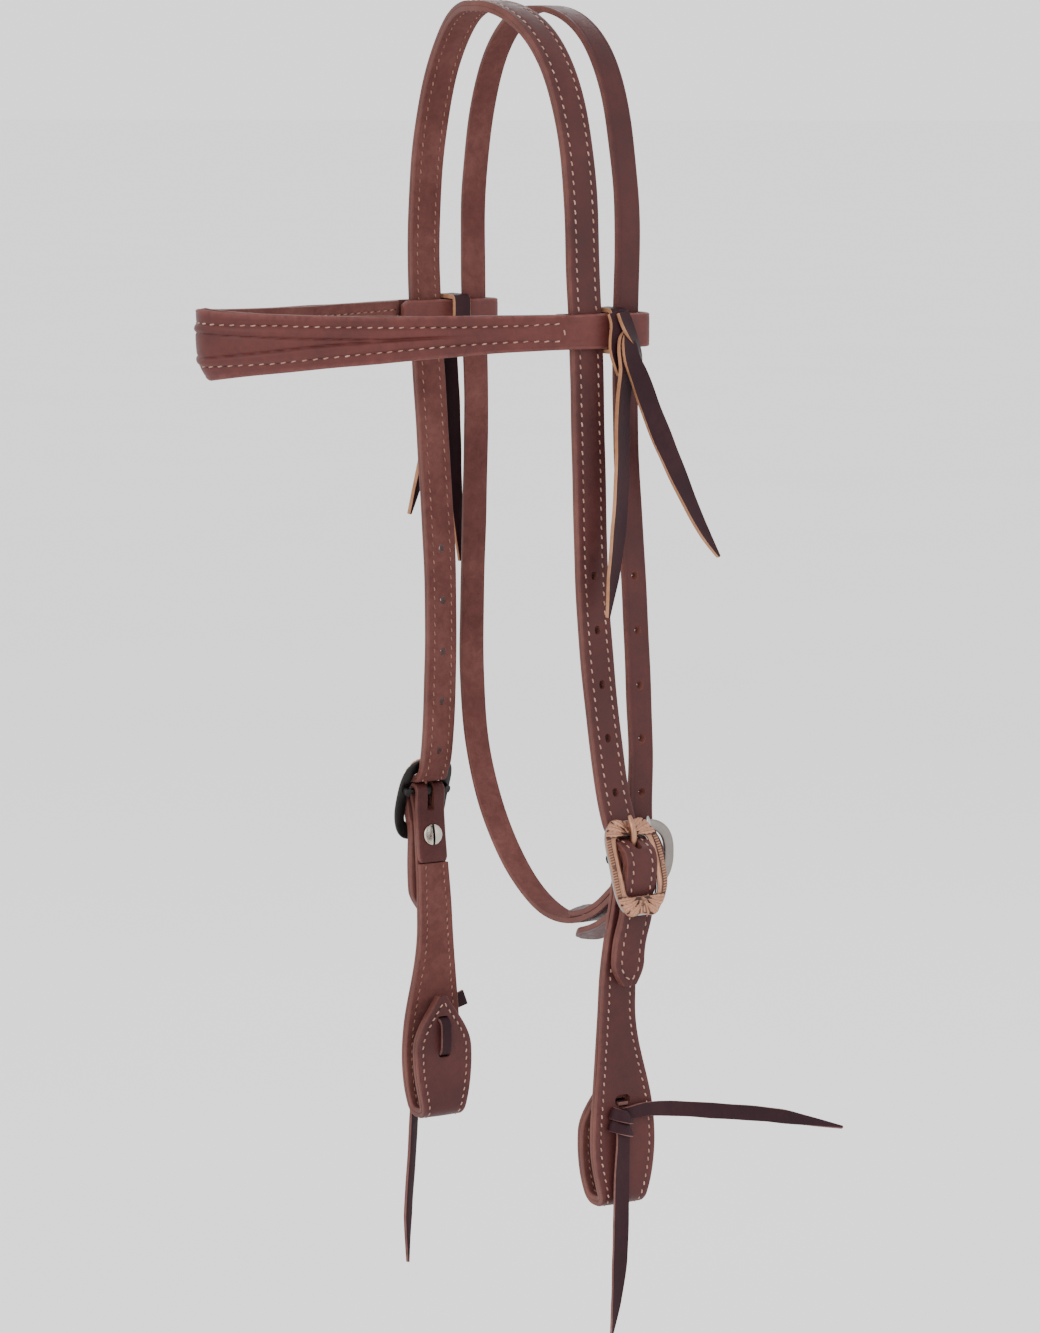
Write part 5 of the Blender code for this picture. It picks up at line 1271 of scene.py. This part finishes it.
def leaf_height(y, v, end):
    """Two clusters of three overlapping petals, with a fluted fan between them,
    on one end of the buckle face, in mm.  Returns the height and how deep the
    hollows are."""
    sgn = -1.0 if end == "top" else 1.0
    v0 = (WINDOW_TOP - 0.4) if end == "top" else (WINDOW_BOTTOM + 0.4)
    w = (v - v0) * sgn                      # 0 at the window, growing outwards
    height = np.zeros_like(y)
    dark = np.ones_like(y) * 0.9
    petals = (((3.4, 0.2), (14.6, 1.3), 1.9, 0.66, 0.5), ((2.2, 1.2), (14.3, 5.4), 2.3, 0.98, 0.9),
              ((1.3, 2.6), (9.6, 9.0), 2.1, 1.24, 0.7))
    for side in (-1, 1):
        for base, tip, wide, rise, bend in petals:
            p0 = np.array([side * base[0], base[1]])
            p1 = np.array([side * tip[0], tip[1]])
            length = np.linalg.norm(p1 - p0)
            axis = (p1 - p0) / length
            cross = np.array([-axis[1], axis[0]])
            a = ((y - p0[0]) * axis[0] + (w - p0[1]) * axis[1]) / length
            c = (y - p0[0]) * cross[0] + (w - p0[1]) * cross[1]
            c = c - bend * np.sin(math.pi * np.clip(a, 0, 1)) * side
            along = np.clip(a, 0, 1)
            breadth = wide * np.sin(math.pi * along ** 1.35) ** 0.62
            breadth = breadth * (1 + 0.10 * np.cos(2 * math.pi * along * 4.5))
            q = np.clip(np.abs(c) / np.maximum(breadth, 1e-3), 0, 2)
            inside = (a > 0) & (a < 1) & (q < 1)
            dome = rise * np.maximum(1 - q ** 2.4, 0) ** 0.5 * (0.62 + 0.38 * ease(a * 2.2))
            rib = np.exp(-(c / 0.20) ** 2) * ease((0.92 - a) / 0.1)
            vein = 0.5 + 0.5 * np.cos(2 * math.pi * (a * length / 1.9 - np.abs(c) * 0.42))
            vein = vein ** 5 * (q > 0.16) * (q < 0.9)
            h = np.where(inside, dome - 0.09 * vein - 0.20 * rib, 0.0)
            better = h > height
            height = np.where(better, h, height)
            dark = np.where(better, 0.12 + 0.22 * vein + 0.42 * rib + 0.95 * ease((q - 0.76) / 0.2),
                            dark)
    ang = np.arctan2(y, w + 2.6)
    rad = np.hypot(y, w + 2.6)
    reach = 10.4 * (1 - 0.05 * np.cos(ang * 14))
    inside = (np.abs(ang) < 0.42) & (rad > 2.8) & (rad < reach)
    flute = 0.5 + 0.5 * np.cos(ang * 34)
    h = np.where(inside, 0.78 - 0.26 * (1 - flute) - 0.2 * ease((np.abs(ang) - 0.3) / 0.12), 0.0)
    better = h > height
    height = np.where(better, h, height)
    dark = np.where(better, 0.5 * (1 - flute) ** 1.4 + 0.18, dark)
    return height, dark


def overlay_relief(y, v, f):
    """Height and hollow of the engraved face at plate position (y, v); f runs
    from the window to the rim."""
    top, dark_top = leaf_height(y, v, "top")
    low, dark_low = leaf_height(y, v, "bottom")
    end = np.where(v < 5, ease((WINDOW_TOP + 1.6 - v) / 2.2), ease((v - WINDOW_BOTTOM + 1.6) / 2.2))
    leaf = np.where(v < 5, top, low)
    dark = np.where(v < 5, dark_top, dark_low)
    # rails: a plain inner moulding, then a milled rope
    rope = 0.5 + 0.5 * np.cos(2 * math.pi * (v / 1.25 + f * 0.9 * np.sign(y)))
    on_rope = ease((f - 0.52) / 0.05) * (1 - ease((f - 0.95) / 0.04))
    inner = np.sin(math.pi * np.clip(f / 0.50, 0, 1))
    rail = 0.40 * inner * (f < 0.50) + on_rope * (0.20 + 0.34 * rope)
    rail_dark = on_rope * (0.26 + 0.40 * (1 - rope)) + 0.9 * np.exp(-((f - 0.515) / 0.035) ** 2)
    return rail * (1 - end) + leaf * end, rail_dark * (1 - end) + dark * end


def frame_ring(b, count, lift, thick, outer_grow, inner_grow, lobes, relief=False):
    phi = even_phi(count)
    centre = (FRAME_TOP + FRAME_BOTTOM) / 2
    half_v = (FRAME_BOTTOM - FRAME_TOP) / 2
    yo, vo = superellipse(phi, FRAME_HALF + outer_grow, half_v + outer_grow, centre, 3.4)
    if lobes:
        rim = np.abs(np.sin(phi)) ** 3
        wave = np.abs(np.sin(4.3 * np.arcsin(np.clip(np.cos(phi), -1, 1)))) ** 0.8
        fine = 0.5 + 0.5 * np.cos(phi * 60)
        yo = yo * (1 + lobes * (wave - 0.6) * rim * 0.08)
        vo = centre + (vo - centre) * (1 + lobes * ((wave - 0.62) * 0.085 + 0.006 * fine) * rim)
    low = ease((vo - 12.0) / 16.0)
    yo = yo * (1 - 0.12 * low) - 1.1 * low
    wc = (WINDOW_TOP + WINDOW_BOTTOM) / 2
    yi, vi = superellipse(phi, WINDOW_HALF - inner_grow,
                          (WINDOW_BOTTOM - WINDOW_TOP) / 2 - inner_grow, wc, 9.0)
    if relief:
        front = np.linspace(0.985, 0.015, 30)
        fs = np.concatenate([[0.06, 0.5, 0.94, 1.0], front, [0.0]])
        hs = np.concatenate([[0.0, 0.0, 0.0, 0.25], np.full(30, 0.62), [0.25]])
    else:
        fs = np.array([0.12, 0.5, 0.88, 0.97, 1.0, 1.0, 0.96, 0.86, 0.5, 0.14, 0.04, 0.0, 0.0, 0.03])
        hs = np.array([0.0, 0.0, 0.0, 0.08, 0.28, 0.72, 0.93, 1.0, 1.0, 1.0, 0.93, 0.72, 0.28, 0.08])
    y = yi[:, None] + fs[None, :] * (yo - yi)[:, None]
    v = vi[:, None] + fs[None, :] * (vo - vi)[:, None]
    h = np.broadcast_to(hs * thick, y.shape).copy()
    cavity = np.zeros_like(y)
    if relief:
        f = np.broadcast_to(fs, y.shape)
        rise, dark = overlay_relief(y, v, f)
        side_fade = ease(np.minimum(f, 1 - f) / 0.05)
        on = (hs > 0.5)[None, :]
        h = h + np.where(on, rise * (0.35 + 0.65 * side_fade), 0.0)
        cavity = np.where(on, dark * side_fade, 0.35)
    verts = b.point(v, plate_back(v) + lift + h, y).reshape(-1, 3)
    back = [1 if min(hs[j], hs[(j + 1) % len(fs)]) < 0.2 else 0 for j in range(len(fs))]
    return verts, grid_faces(count, len(fs), closed=True), cavity.reshape(-1), back * count


def rod(b, radius, half, sides=24, swell=0.0):
    path = b.point(np.zeros(9), np.zeros(9), np.linspace(-half, half, 9))
    r = radius + swell * np.cos(np.linspace(-1, 1, 9) * math.pi / 2)
    return tube(path, r, sides, lateral=(1, 0, 0), round_ends=False)


def tongue_parts(b, bar_radius, shaft, radius, width, tip=0.55):
    inner, outer = bar_radius + 0.25, bar_radius + GAP + 1.35
    count = 40
    rings = []
    for k in range(count):
        a = 2 * math.pi * k / count
        section = []
        for r, y in ((inner, -width / 2 + 0.3), (inner, width / 2 - 0.3), (inner + 0.3, width / 2),
                     (outer - 0.3, width / 2), (outer, width / 2 - 0.4), (outer, -width / 2 + 0.4),
                     (outer - 0.3, -width / 2), (inner + 0.3, -width / 2)):
            section.append(b.point(r * math.cos(a), r * math.sin(a), y))
        rings.append(np.array(section))
    ring = (np.vstack(rings), grid_faces(count, 8, closed=True))
    path = spline(b.point([p[0] for p in shaft], [p[1] for p in shaft]))
    s = run_length(path)
    taper = radius * (1.12 - 0.22 * s / s[-1]) * (tip + (1 - tip) * np.sin(
        np.clip((s[-1] - s) / 2.6, 0, 1) * math.pi / 2))
    return [ring, tube(path, taper, 20, flat=0.88, step=0.5)]


def cheek_hardware(side, label):
    sign = side["sign"]
    b = buckle_of(side)
    far = label == "far"
    verts, faces, _, back = frame_ring(b, 160, 0.0, FRAME_PLATE, -0.35, 0.15, 0)
    # the far frame is all dark steel and the back faces of both frames too: painted shade
    plate = make_object(f"{label}_buckle_frame", verts * np.array([sign, 1, 1]), faces,
                        ("dark_steel" if far else "steel", "dark_steel"), back, sharp=60)
    parts = [rod(b, BAR_RADIUS, 11.4)]
    for y in (-11.2, 11.2):
        outline = stadium(4.3, 3.6, 20)
        centre = b.point(0.0, (plate_back(0.0) + 0.9 - 1.35) / 2, y)
        parts.append(prism(centre, b.u, np.array([0, 1.0, 0]), b.v,
                           [(a * 0.86, c) for a, c in outline],
                           (plate_back(0.0) + 0.9 + 1.35) / 2))
    # the bar and its lugs are dark steel: painted shade
    bar = make_object(f"{label}_buckle_bar", *mirrored(joined(parts), sign), ("dark_steel",),
                      sharp=40)
    verts, faces, cavity, _ = frame_ring(b, 460, FRAME_PLATE + 0.02, OVERLAY + 0.1,
                                         -1.3 if far else 0.1, -0.08,
                                         1, True)
    face = make_object(f"{label}_buckle_face", verts * np.array([sign, 1, 1]), faces,
                       ("copper",), attribute=cavity, sharp=70)
    finish(plate, "headstall", "steel", f"{label}_cheek_buckle_frame")
    finish(bar, "headstall", "steel")
    finish(face, "headstall", "copper", f"{label}_cheek_buckle_face")
    parts = tongue_parts(b, BAR_RADIUS, CHEEK_TONGUE, 1.5, 3.0, 0.8)
    v, f = mirrored(joined(parts), sign)
    ring = len(parts[0][1])
    # on the far side the tongue's ring is dark steel: painted shade in the slot
    obj = make_object(f"{label}_tongue", v, f, ("copper", "dark_steel"),
                      [1 if far and k < ring else 0 for k in range(len(f))],
                      attribute=np.zeros(len(v)), sharp=50)
    finish(obj, f"{label}_tongue", "copper", f"{label}_cheek_buckle_tongue")


def throat_hardware(screw_at, screw_n):
    b = Buckle(THROAT_BAR, 0.0)
    count = 140
    phi = np.arange(count) * 2 * math.pi / count
    yo, vo = superellipse(phi, 15.8, 18.0, 0.0, 2.5)
    vo = np.where(vo < 0, vo * 0.9, vo)
    yi, vi = superellipse(phi, 10.4, 12.8, 0.0, 2.7)
    vi = np.where(vi < 0, vi * 0.87, vi)
    turn = np.arange(16) * 2 * math.pi / 16
    c, s = np.cos(turn), np.sin(turn)
    fs = 0.5 + 0.5 * np.sign(c) * np.abs(c) ** 0.75
    hs = np.sign(s) * np.abs(s) ** 0.6
    y = yi[:, None] + fs[None, :] * (yo - yi)[:, None]
    v = vi[:, None] + fs[None, :] * (vo - vi)[:, None]
    lift = 1.3 * np.cos(math.pi * np.clip(v / 36.0, -0.5, 0.5))
    verts = b.point(v, lift - 0.3 + hs[None, :] * 1.25, y).reshape(-1, 3)
    ring = (verts, grid_faces(count, 16, closed=True))
    obj = make_object("throat_buckle", *joined([ring, rod(b, 1.5, 12.6)]), ("brushed",), sharp=60)
    finish(obj, "headstall", "steel", "throat_buckle_frame")
    v, f = joined(tongue_parts(b, 1.5, THROAT_TONGUE, 1.36, 2.9))
    obj = make_object("throat_tongue_bar", v, f, ("steel",), sharp=50)
    finish(obj, "throat_tongue", "steel", "throat_buckle_tongue")
    screw_pair("throat", screw_at, screw_n, THROAT_THICK + 0.4, 1.0, "headstall")


def screw_pair(label, centre, normal, stack, sign, body):
    """A two-piece screw: domed post head outside, slotted head inside."""
    z = unit(np.asarray(normal, float))
    y = np.array([0, 1.0, 0])
    x = np.cross(y, z)
    head, top, low = 5.2, stack + GAP, -stack - GAP
    t = np.linspace(0, 1, 9)
    dome = [(head * math.sin(q * math.pi / 2), top + 0.35 + 0.85 * math.cos(q * math.pi / 2))
            for q in t]
    post = dome + [(head, top + 0.12), (head - 0.15, top - 0.02), (2.35, top - 0.02),
                   (2.35, -stack + 0.1), (1.7, -stack + 0.1), (1.7, top - 0.4), (0, top - 0.4)]
    dome = [(head * math.sin(q * math.pi / 2), low - 0.40 - 1.0 * math.cos(q * math.pi / 2))
            for q in t]
    slotted = dome + [(head, low - 0.12), (head - 0.15, low + 0.02), (1.4, low + 0.02),
                      (1.4, top - 1.2), (0, top - 1.2)]
    outer = make_object(f"{label}_screw_cap", *mirrored(placed(turned(post), centre, x, y, z), sign),
                        ("bright",), sharp=50)
    inner = make_object(f"{label}_screw_slotted",
                        *mirrored(placed(turned(slotted), centre, x, y, z), sign),
                        ("bright", "bright", "dark_steel"), sharp=50)
    # the walls of the screwdriver slot get the dark steel: painted shade in the groove
    groove_box = box((-0.62, -head - 1, low - 2.4), (0.62, head + 1, low - 0.55))
    cut(inner, [mirrored(placed(groove_box, centre, y, x, z), sign)])
    prefix = "throat" if label == "throat" else f"{label}_cheek"
    finish(outer, body, "steel", f"{prefix}_screw_post")
    finish(inner, body, "steel", f"{prefix}_screw_head")


# ======================================================================= ties
def lace(name, points, half, facing, sign, thick=LACE_THICK, cup=0.18, mats=None,
         end_round=0.3, wander=0.0, taper_tip=True):
    """A flat lace; facing holds a direction for each control point."""
    points = np.asarray(points, float)
    path = spline(points)
    marks = run_length(points)
    s = run_length(path)
    marks = marks / marks[-1] * s[-1]
    width = np.interp(s, marks, np.broadcast_to(np.asarray(half, float), len(points)))
    facing = np.asarray(facing, float)
    if facing.ndim == 1:
        facing = np.broadcast_to(facing, points.shape)
    turn = unit(np.stack([np.interp(s, marks, facing[:, k]) for k in range(3)], -1))
    tangent = unit(np.gradient(path, axis=0))
    lateral = unit(np.cross(tangent, turn))
    if wander:
        k = 2 * math.pi / 23.0
        width = width * (1 + wander * np.sin(k * s + points[0, 1]))

    def cupped(s_, a, f, r):
        t = (a + f) / np.maximum(f + r, 1e-6)
        return -cup * (1 - (2 * t - 1) ** 2)

    strap = Strap(path, lateral, width, width, -thick / 2, thick / 2, cupped,
                  lambda s_, a, f, r: -cupped(s_, a, f, r))
    return strap.build(name, mats or ("latigo", "latigo", "raw_edge"), 9, 7, 0.28, 0.28,
                       7.0, 4.0, end_round, sign, 0.12)


def brow_ties():
    # near side: the lace goes once round both layers, its ends cross and are
    # pulled through under the band
    t, x0, x1 = LACE_THICK / 2, 61.2, BAND_SIDE_X + 0.5
    z0, z1, r = BAND_BOTTOM - 0.4, BAND_TOP + 0.4, 2.2
    x0, x1, z0, z1 = x0 - t, x1 + t, z0 - t, z1 + t
    for side, label in ((NEAR, "near"), (FAR, "far")):
        sign = side["sign"]
        ring = []
        for cx, cz, a0 in ((x1 - r, z1 - r, 0), (x0 + r, z1 - r, 90), (x0 + r, z0 + r, 180),
                           (x1 - r, z0 + r, 270)):
            for a in np.radians(np.arange(a0, a0 + 91, 22.5)):
                ring.append((cx + r * math.cos(a), TIE_Y, cz + r * math.sin(a)))
        ring = np.array(ring)
        count = len(ring)
        tangent = unit(np.roll(ring, -1, axis=0) - np.roll(ring, 1, axis=0))
        normal = np.cross((0, 1.0, 0), tangent)
        flip = np.sign((normal * (ring - ring.mean(axis=0))).sum(axis=1))[:, None]
        normal = normal * flip
        w, c = 4.5, 0.28
        section = ((-w + c, -t), (-w * 0.5, -t), (0, -t), (w * 0.5, -t), (w - c, -t), (w, -t + c),
                   (w, 0.0), (w, t - c), (w - c, t), (w * 0.5, t - 0.12), (0, t - 0.18),
                   (-w * 0.5, t - 0.12), (-w + c, t), (-w, t - c), (-w, 0.0), (-w, -t + c))
        kinds = [1, 1, 1, 1, 2, 2, 2, 2, 0, 0, 0, 0, 2, 2, 2, 2]
        verts = np.array([[ring[i] + np.array([0, a + 0.35, 0]) + h * normal[i] for a, h in section]
                          for i in range(count)]).reshape(-1, 3)
        verts = verts * np.array([sign, 1, 1])
        uv = [(i * 0.002, 0.5) for i in range(count) for _ in section]
        obj = make_object(f"{label}_brow_ring", verts, grid_faces(count, 16, closed=True),
                          ("latigo", "latigo", "raw_edge"), kinds * count, uv)
        finish(obj, "browband", "latigo", f"{label}_brow_tie")

    out, fore = (1, 0, 0), (0.86, -0.5, 0)
    back = (0.9, 0.42, 0)
    # near side: two strands come down over the band, one straight and one
    # slanting back; the tails come out between them
    strands = [
        lace("near_tie_front", (
            (79.9, 20.0, -136.2), (80.8, 21.0, -140.5), (80.9, 20.7, -146.7),
            (80.8, 20.4, -152.6), (80.4, 21.8, -157.2), (79.7, 23.6, -162.0),
            (78.9, 24.6, -165.0)),
            (3.9, 4.1, 4.1, 4.0, 3.8, 3.2, 2.4), (0.98, 0.15, 0.05), 1.0, wander=0.02),
        lace("near_tie_slant", (
            (80.9, 23.6, -136.4), (82.0, 24.6, -140.2), (82.2, 27.8, -147.0),
            (81.5, 31.2, -153.2), (80.6, 33.4, -158.0), (79.2, 34.6, -162.5)),
            (3.4, 3.7, 3.6, 3.5, 3.2, 2.4),
            ((0.95, 0.3, 0), (0.93, 0.35, 0.05), (0.85, 0.52, 0.1), (0.7, 0.7, 0.1),
             (0.6, 0.78, 0.1), (0.5, 0.85, 0)), 1.0),
        lace("near_tie_down", (
            (80.6, 26.6, -146.0), (82.2, 24.4, -149.6), (83.0, 23.7, -154.5),
            (82.8, 24.5, -161.0), (82.0, 23.9, -173.0), (81.6, 23.3, -200.0),
            (81.4, 21.6, -236.0), (81.2, 18.9, -258.0), (81.0, 16.2, -276.5)),
            (2.6, 4.0, 4.4, 4.6, 5.0, 5.1, 5.0, 3.4, 0.6),
            ((0.97, 0.2, 0), (0.97, 0.2, 0), (0.95, 0.3, 0), (0.92, 0.38, 0), back, back,
             (0.92, 0.38, 0), (0.95, 0.3, 0), (0.95, 0.3, 0)), 1.0, wander=0.02),
        lace("near_tie_rear", (
            (81.2, 25.6, -146.6), (84.3, 25.1, -151.0), (85.2, 25.6, -156.5),
            (85.2, 28.6, -163.0), (84.4, 34.8, -176.0), (83.6, 45.0, -197.0),
            (83.0, 56.5, -219.0), (83.0, 68.6, -240.5), (83.0, 76.3, -251.6)),
            (2.4, 4.0, 4.4, 4.6, 5.0, 5.1, 4.8, 2.9, 0.6),
            ((0.97, 0.2, 0.1), (0.97, 0.2, 0.1), (0.98, 0.15, 0.1), out, out, out,
             (0.95, 0.3, 0), (0.92, 0.38, 0), (0.95, 0.3, 0)), 1.0, wander=0.02)]
    for obj in strands:
        finish(obj, "browband", "latigo")

    strands = [
        lace("far_tie_down", ((78.9, 19.0, -138.2), (80.6, 19.8, -143.0), (81.8, 24.0, -150.5),
                              (81.4, 27.6, -161.0), (80.6, 29.6, -178.0), (80.2, 31.4, -214.0),
                              (80.0, 32.6, -243.0), (80.0, 34.2, -266.5)),
             (4.1, 4.5, 4.6, 4.4, 3.8, 3.3, 2.8, 0.6),
             (out, out, back, back, back, back, out, out), -1.0, wander=0.02),
        lace("far_tie_front", ((78.6, 28.6, -138.2), (79.6, 28.2, -143.5), (80.0, 23.8, -151.0),
                               (80.2, 20.9, -165.0), (80.2, 18.2, -190.0), (80.0, 13.4, -214.0),
                               (80.0, 9.0, -231.0), (80.2, 5.6, -242.0)),
             (4.1, 4.5, 4.5, 4.4, 3.8, 2.8, 1.9, 0.6),
             (out, out, fore, fore, fore, fore, (0.95, -0.3, 0), (0.95, -0.3, 0)), -1.0,
             wander=0.02),
        lace("far_tie_turn", ((78.6, 15.6, -151.4), (81.4, 16.8, -151.6), (83.4, 21.0, -151.4),
                              (83.8, 24.6, -150.6), (82.2, 30.0, -149.8), (78.8, 31.8, -148.8)),
             3.6, ((0.4, -0.9, 0), (0.8, -0.5, 0), (1, 0, 0), (1, 0.2, 0), (0.8, 0.6, 0),
                   (0.4, 0.9, 0)), -1.0, 2.0)]
    for obj in strands:
        finish(obj, "browband", "latigo")


def coil(name, centre_y, z, half_y, half_x, x, half, tilt, sign):
    """A wrap of lace round a standing strand: slanting down to the rear, its
    lower edge standing a little proud."""
    a = np.linspace(-0.60 * math.pi, 0.60 * math.pi, 27)
    pts = np.column_stack([x + half_x * np.cos(a), centre_y + half_y * np.sin(a),
                           z + tilt * np.sin(a)])
    facing = np.column_stack([np.cos(a), np.sin(a), np.full(len(a), 0.42)])
    return lace(name, pts, half, facing, sign, 1.5, -0.22, BIT_LACE, end_round=0.2)


def bit_ties():
    for side, label in ((NEAR, "near"), (FAR, "far")):
        sign = side["sign"]
        body = f"{label}_cheek"
        bottom = side["bar_z"] - side["length"]
        low = bottom + TIE_HOLE_RISE
        high = low + TIE_HOLES
        y = side["tie_y"]
        # the staple through both holes, lying on the inner leaf
        staple = lace(f"{label}_bit_staple", (
            (88.6, y, low + 0.2), (84.0, y, low), (78.0, y, low), (73.2, y, low + 0.1),
            (71.4, y, low + 1.2), (70.7, y, low + 3.6), (70.5, y, low + TIE_HOLES / 2),
            (70.7, y, high - 3.6), (71.4, y, high - 1.2), (73.2, y, high - 0.1),
            (78.0, y, high), (84.0, y, high), (88.6, y, high - 0.2)),
            2.6, ((0, 0, -1), (0, 0, -1), (0, 0, -1), (-0.3, 0, -1), (-0.7, 0, -0.7), (-1, 0, -0.2),
                  (-1, 0, 0), (-1, 0, 0.2), (-0.7, 0, 0.7), (-0.3, 0, 1), (0, 0, 1), (0, 0, 1),
                  (0, 0, 1)), sign, 2.0, 0.1, BIT_LACE, end_round=0.2)
        finish(staple, body, "latigo", f"{label}_bit_tie")
        out = (1, 0, 0)
        if label == "near":
            strands = [
                lace("near_bit_tail_rear", (
                    (90.2, 19.4, high - 4.6), (91.6, 22.0, high - 4.2), (91.8, 27.0, high - 3.7),
                    (91.2, 37.0, high - 4.1), (91.0, 72.0, high - 9.6), (91.0, 108.5, high - 16.6),
                    (91.4, 128.0, high - 21.8), (92.0, 144.4, high - 26.4)),
                    (2.4, 2.8, 3.1, 3.4, 3.6, 3.4, 2.1, 0.6),
                    ((0.95, -0.1, 0.2), out, out, (0.97, 0, 0.25), (0.98, 0, 0.2),
                     (0.98, 0, -0.05), (0.86, 0, 0.5), (0.75, 0, 0.65)), sign, 1.7,
                    mats=BIT_LACE, wander=0.02),
                lace("near_bit_tail_down", (
                    (90.6, 18.7, high - 6.0), (91.5, 18.7, high - 11.0), (91.8, 18.7, low - 1.0),
                    (91.5, 18.6, low - 8.0), (91.1, 18.3, low - 30.0), (91.0, 17.6, low - 58.0),
                    (91.0, 15.6, low - 78.0), (91.0, 13.3, low - 92.3)),
                    (3.0, 3.3, 3.6, 4.0, 4.5, 4.5, 2.9, 0.5),
                    (out, out, (0.98, 0.12, 0.05), (0.98, 0.14, 0), (0.98, 0.16, 0), (0.98, 0.18, 0),
                     (0.96, 0.26, 0), (0.95, 0.3, 0)), sign, 1.6, mats=BIT_LACE, wander=0.02),
                coil("near_bit_wrap_upper", y - 2.5, high - 5.4, 4.6, 3.6, 90.2, 2.75, -1.6, sign),
                coil("near_bit_wrap_lower", y - 2.6, high - 11.4, 5.0, 2.9, 90.2, 2.75, -1.9, sign)]
        else:
            strands = [
                lace("far_bit_stub", (
                    (89.4, 16.4, high - 3.2), (91.2, 18.8, high - 3.2), (91.7, 24.0, high - 1.8),
                    (91.2, 31.0, high + 1.5), (90.9, 38.0, high + 4.2), (90.4, 43.4, high + 6.2)),
                    (2.8, 3.1, 3.2, 3.3, 3.6, 3.9), out, sign, 1.7, mats=BIT_LACE),
                lace("far_bit_tail_down", (
                    (90.2, 18.0, high - 4.0), (91.0, 18.0, high - 10.0), (91.2, 17.4, low + 2.0),
                    (91.2, 15.4, low - 16.0), (91.0, 14.0, low - 33.0), (91.0, 12.6, low - 55.0),
                    (91.0, 10.4, low - 84.0), (91.0, 10.3, low - 108.6)),
                    (3.0, 3.2, 3.2, 3.1, 3.0, 2.9, 2.6, 0.5),
                    ((1, 0, 0), (1, 0, 0), (0.95, -0.3, 0), (0.9, -0.42, 0), (0.9, -0.42, 0),
                     (0.9, -0.42, 0), (0.93, -0.36, 0), (0.95, -0.3, 0)), sign, 1.7,
                    mats=BIT_LACE, wander=0.02),
                coil("far_bit_wrap_upper", y - 2.5, high - 5.4, 4.6, 3.6, 90.2, 2.75, -1.6, sign),
                coil("far_bit_wrap_lower", y - 2.6, high - 11.4, 5.0, 2.9, 90.2, 2.75, -1.9, sign)]
        for obj in strands:
            finish(obj, body, "latigo")


# ============================================================ camera and stage
def camera():
    a, e, turn = math.radians(58.56), math.radians(7.67), math.atan2(41.8, 4592.0)
    fwd = np.array([-math.sin(a) * math.cos(e), math.cos(a) * math.cos(e), -math.sin(e)])
    side = np.array([math.cos(a), math.sin(a), 0.0])
    up = np.cross(side, fwd)
    place = np.array([0, -0.0041, -0.3094 + 0.00245]) - fwd * 2.172
    look = fwd * math.cos(turn) + side * math.sin(turn)
    right = side * math.cos(turn) - fwd * math.sin(turn)
    data = bpy.data.cameras.new("camera")
    data.sensor_fit, data.sensor_width = "AUTO", 36.0
    data.lens = 4592.0 * 36.0 / 1333.0
    data.clip_end = 60.0
    obj = bpy.data.objects.new("camera", data)
    bpy.context.scene.collection.objects.link(obj)
    rot = Matrix((right, up, -look)).transposed()
    obj.matrix_world = Matrix.Translation(Vector(place)) @ rot.to_4x4()
    bpy.context.scene.camera = obj


def light(name, place, target, size, power, color=(1, 1, 1)):
    data = bpy.data.lights.new(name, "AREA")
    data.shape, data.size, data.energy, data.color = "DISK", size, power, color
    obj = bpy.data.objects.new(name, data)
    bpy.context.scene.collection.objects.link(obj)
    way = Vector(target) - Vector(place)
    obj.matrix_world = Matrix.Translation(Vector(place)) @ way.to_track_quat("-Z", "Y").to_matrix().to_4x4()


def stage():
    mat = bpy.data.materials.new("floor")
    mat.use_nodes = True
    tree = mat.node_tree
    shader = tree.nodes["Principled BSDF"]
    coords = tree.nodes.new("ShaderNodeTexCoord").outputs["Object"]
    tone = noise(tree, coords, 2.0, 2.0)
    tree.links.new(ramp(tree, tone, ((0.3, (0.93, 0.93, 0.93)), (0.7, (0.95, 0.95, 0.95)))),
                   shader.inputs["Base Color"])
    shader.inputs["Roughness"].default_value = 0.9
    bpy.ops.mesh.primitive_circle_add(vertices=96, radius=60.0, fill_type="NGON",
                                      location=(0, 0, -0.95))
    floor = bpy.context.object
    floor.name = "floor"
    floor.data.materials.append(mat)
    world = bpy.data.worlds.new("studio")
    bpy.context.scene.world = world
    world.use_nodes = True
    back = world.node_tree.nodes["Background"]
    back.inputs["Color"].default_value = (1.0, 1.0, 1.0, 1)
    back.inputs["Strength"].default_value = 1.55
    centre = (0, -0.03, -0.3)
    light("key", (1.5, -2.2, 1.2), centre, 1.4, 26.0, (1.0, 0.98, 0.96))
    light("fill", (2.4, 1.2, 0.4), centre, 1.6, 10.0)
    light("back", (-1.8, 1.6, 1.4), centre, 1.4, 12.0)


make_materials()
camera()
crown()
throat_screw = throat()
browband()
for _side, _label in ((NEAR, "near"), (FAR, "far")):
    _at, _n = cheek(_side, _label)
    cheek_hardware(_side, _label)
    screw_pair(_label, _at, _n, 2.55, _side["sign"], f"{_label}_cheek")
throat_hardware(*throat_screw)
brow_ties()
bit_ties()
stage()
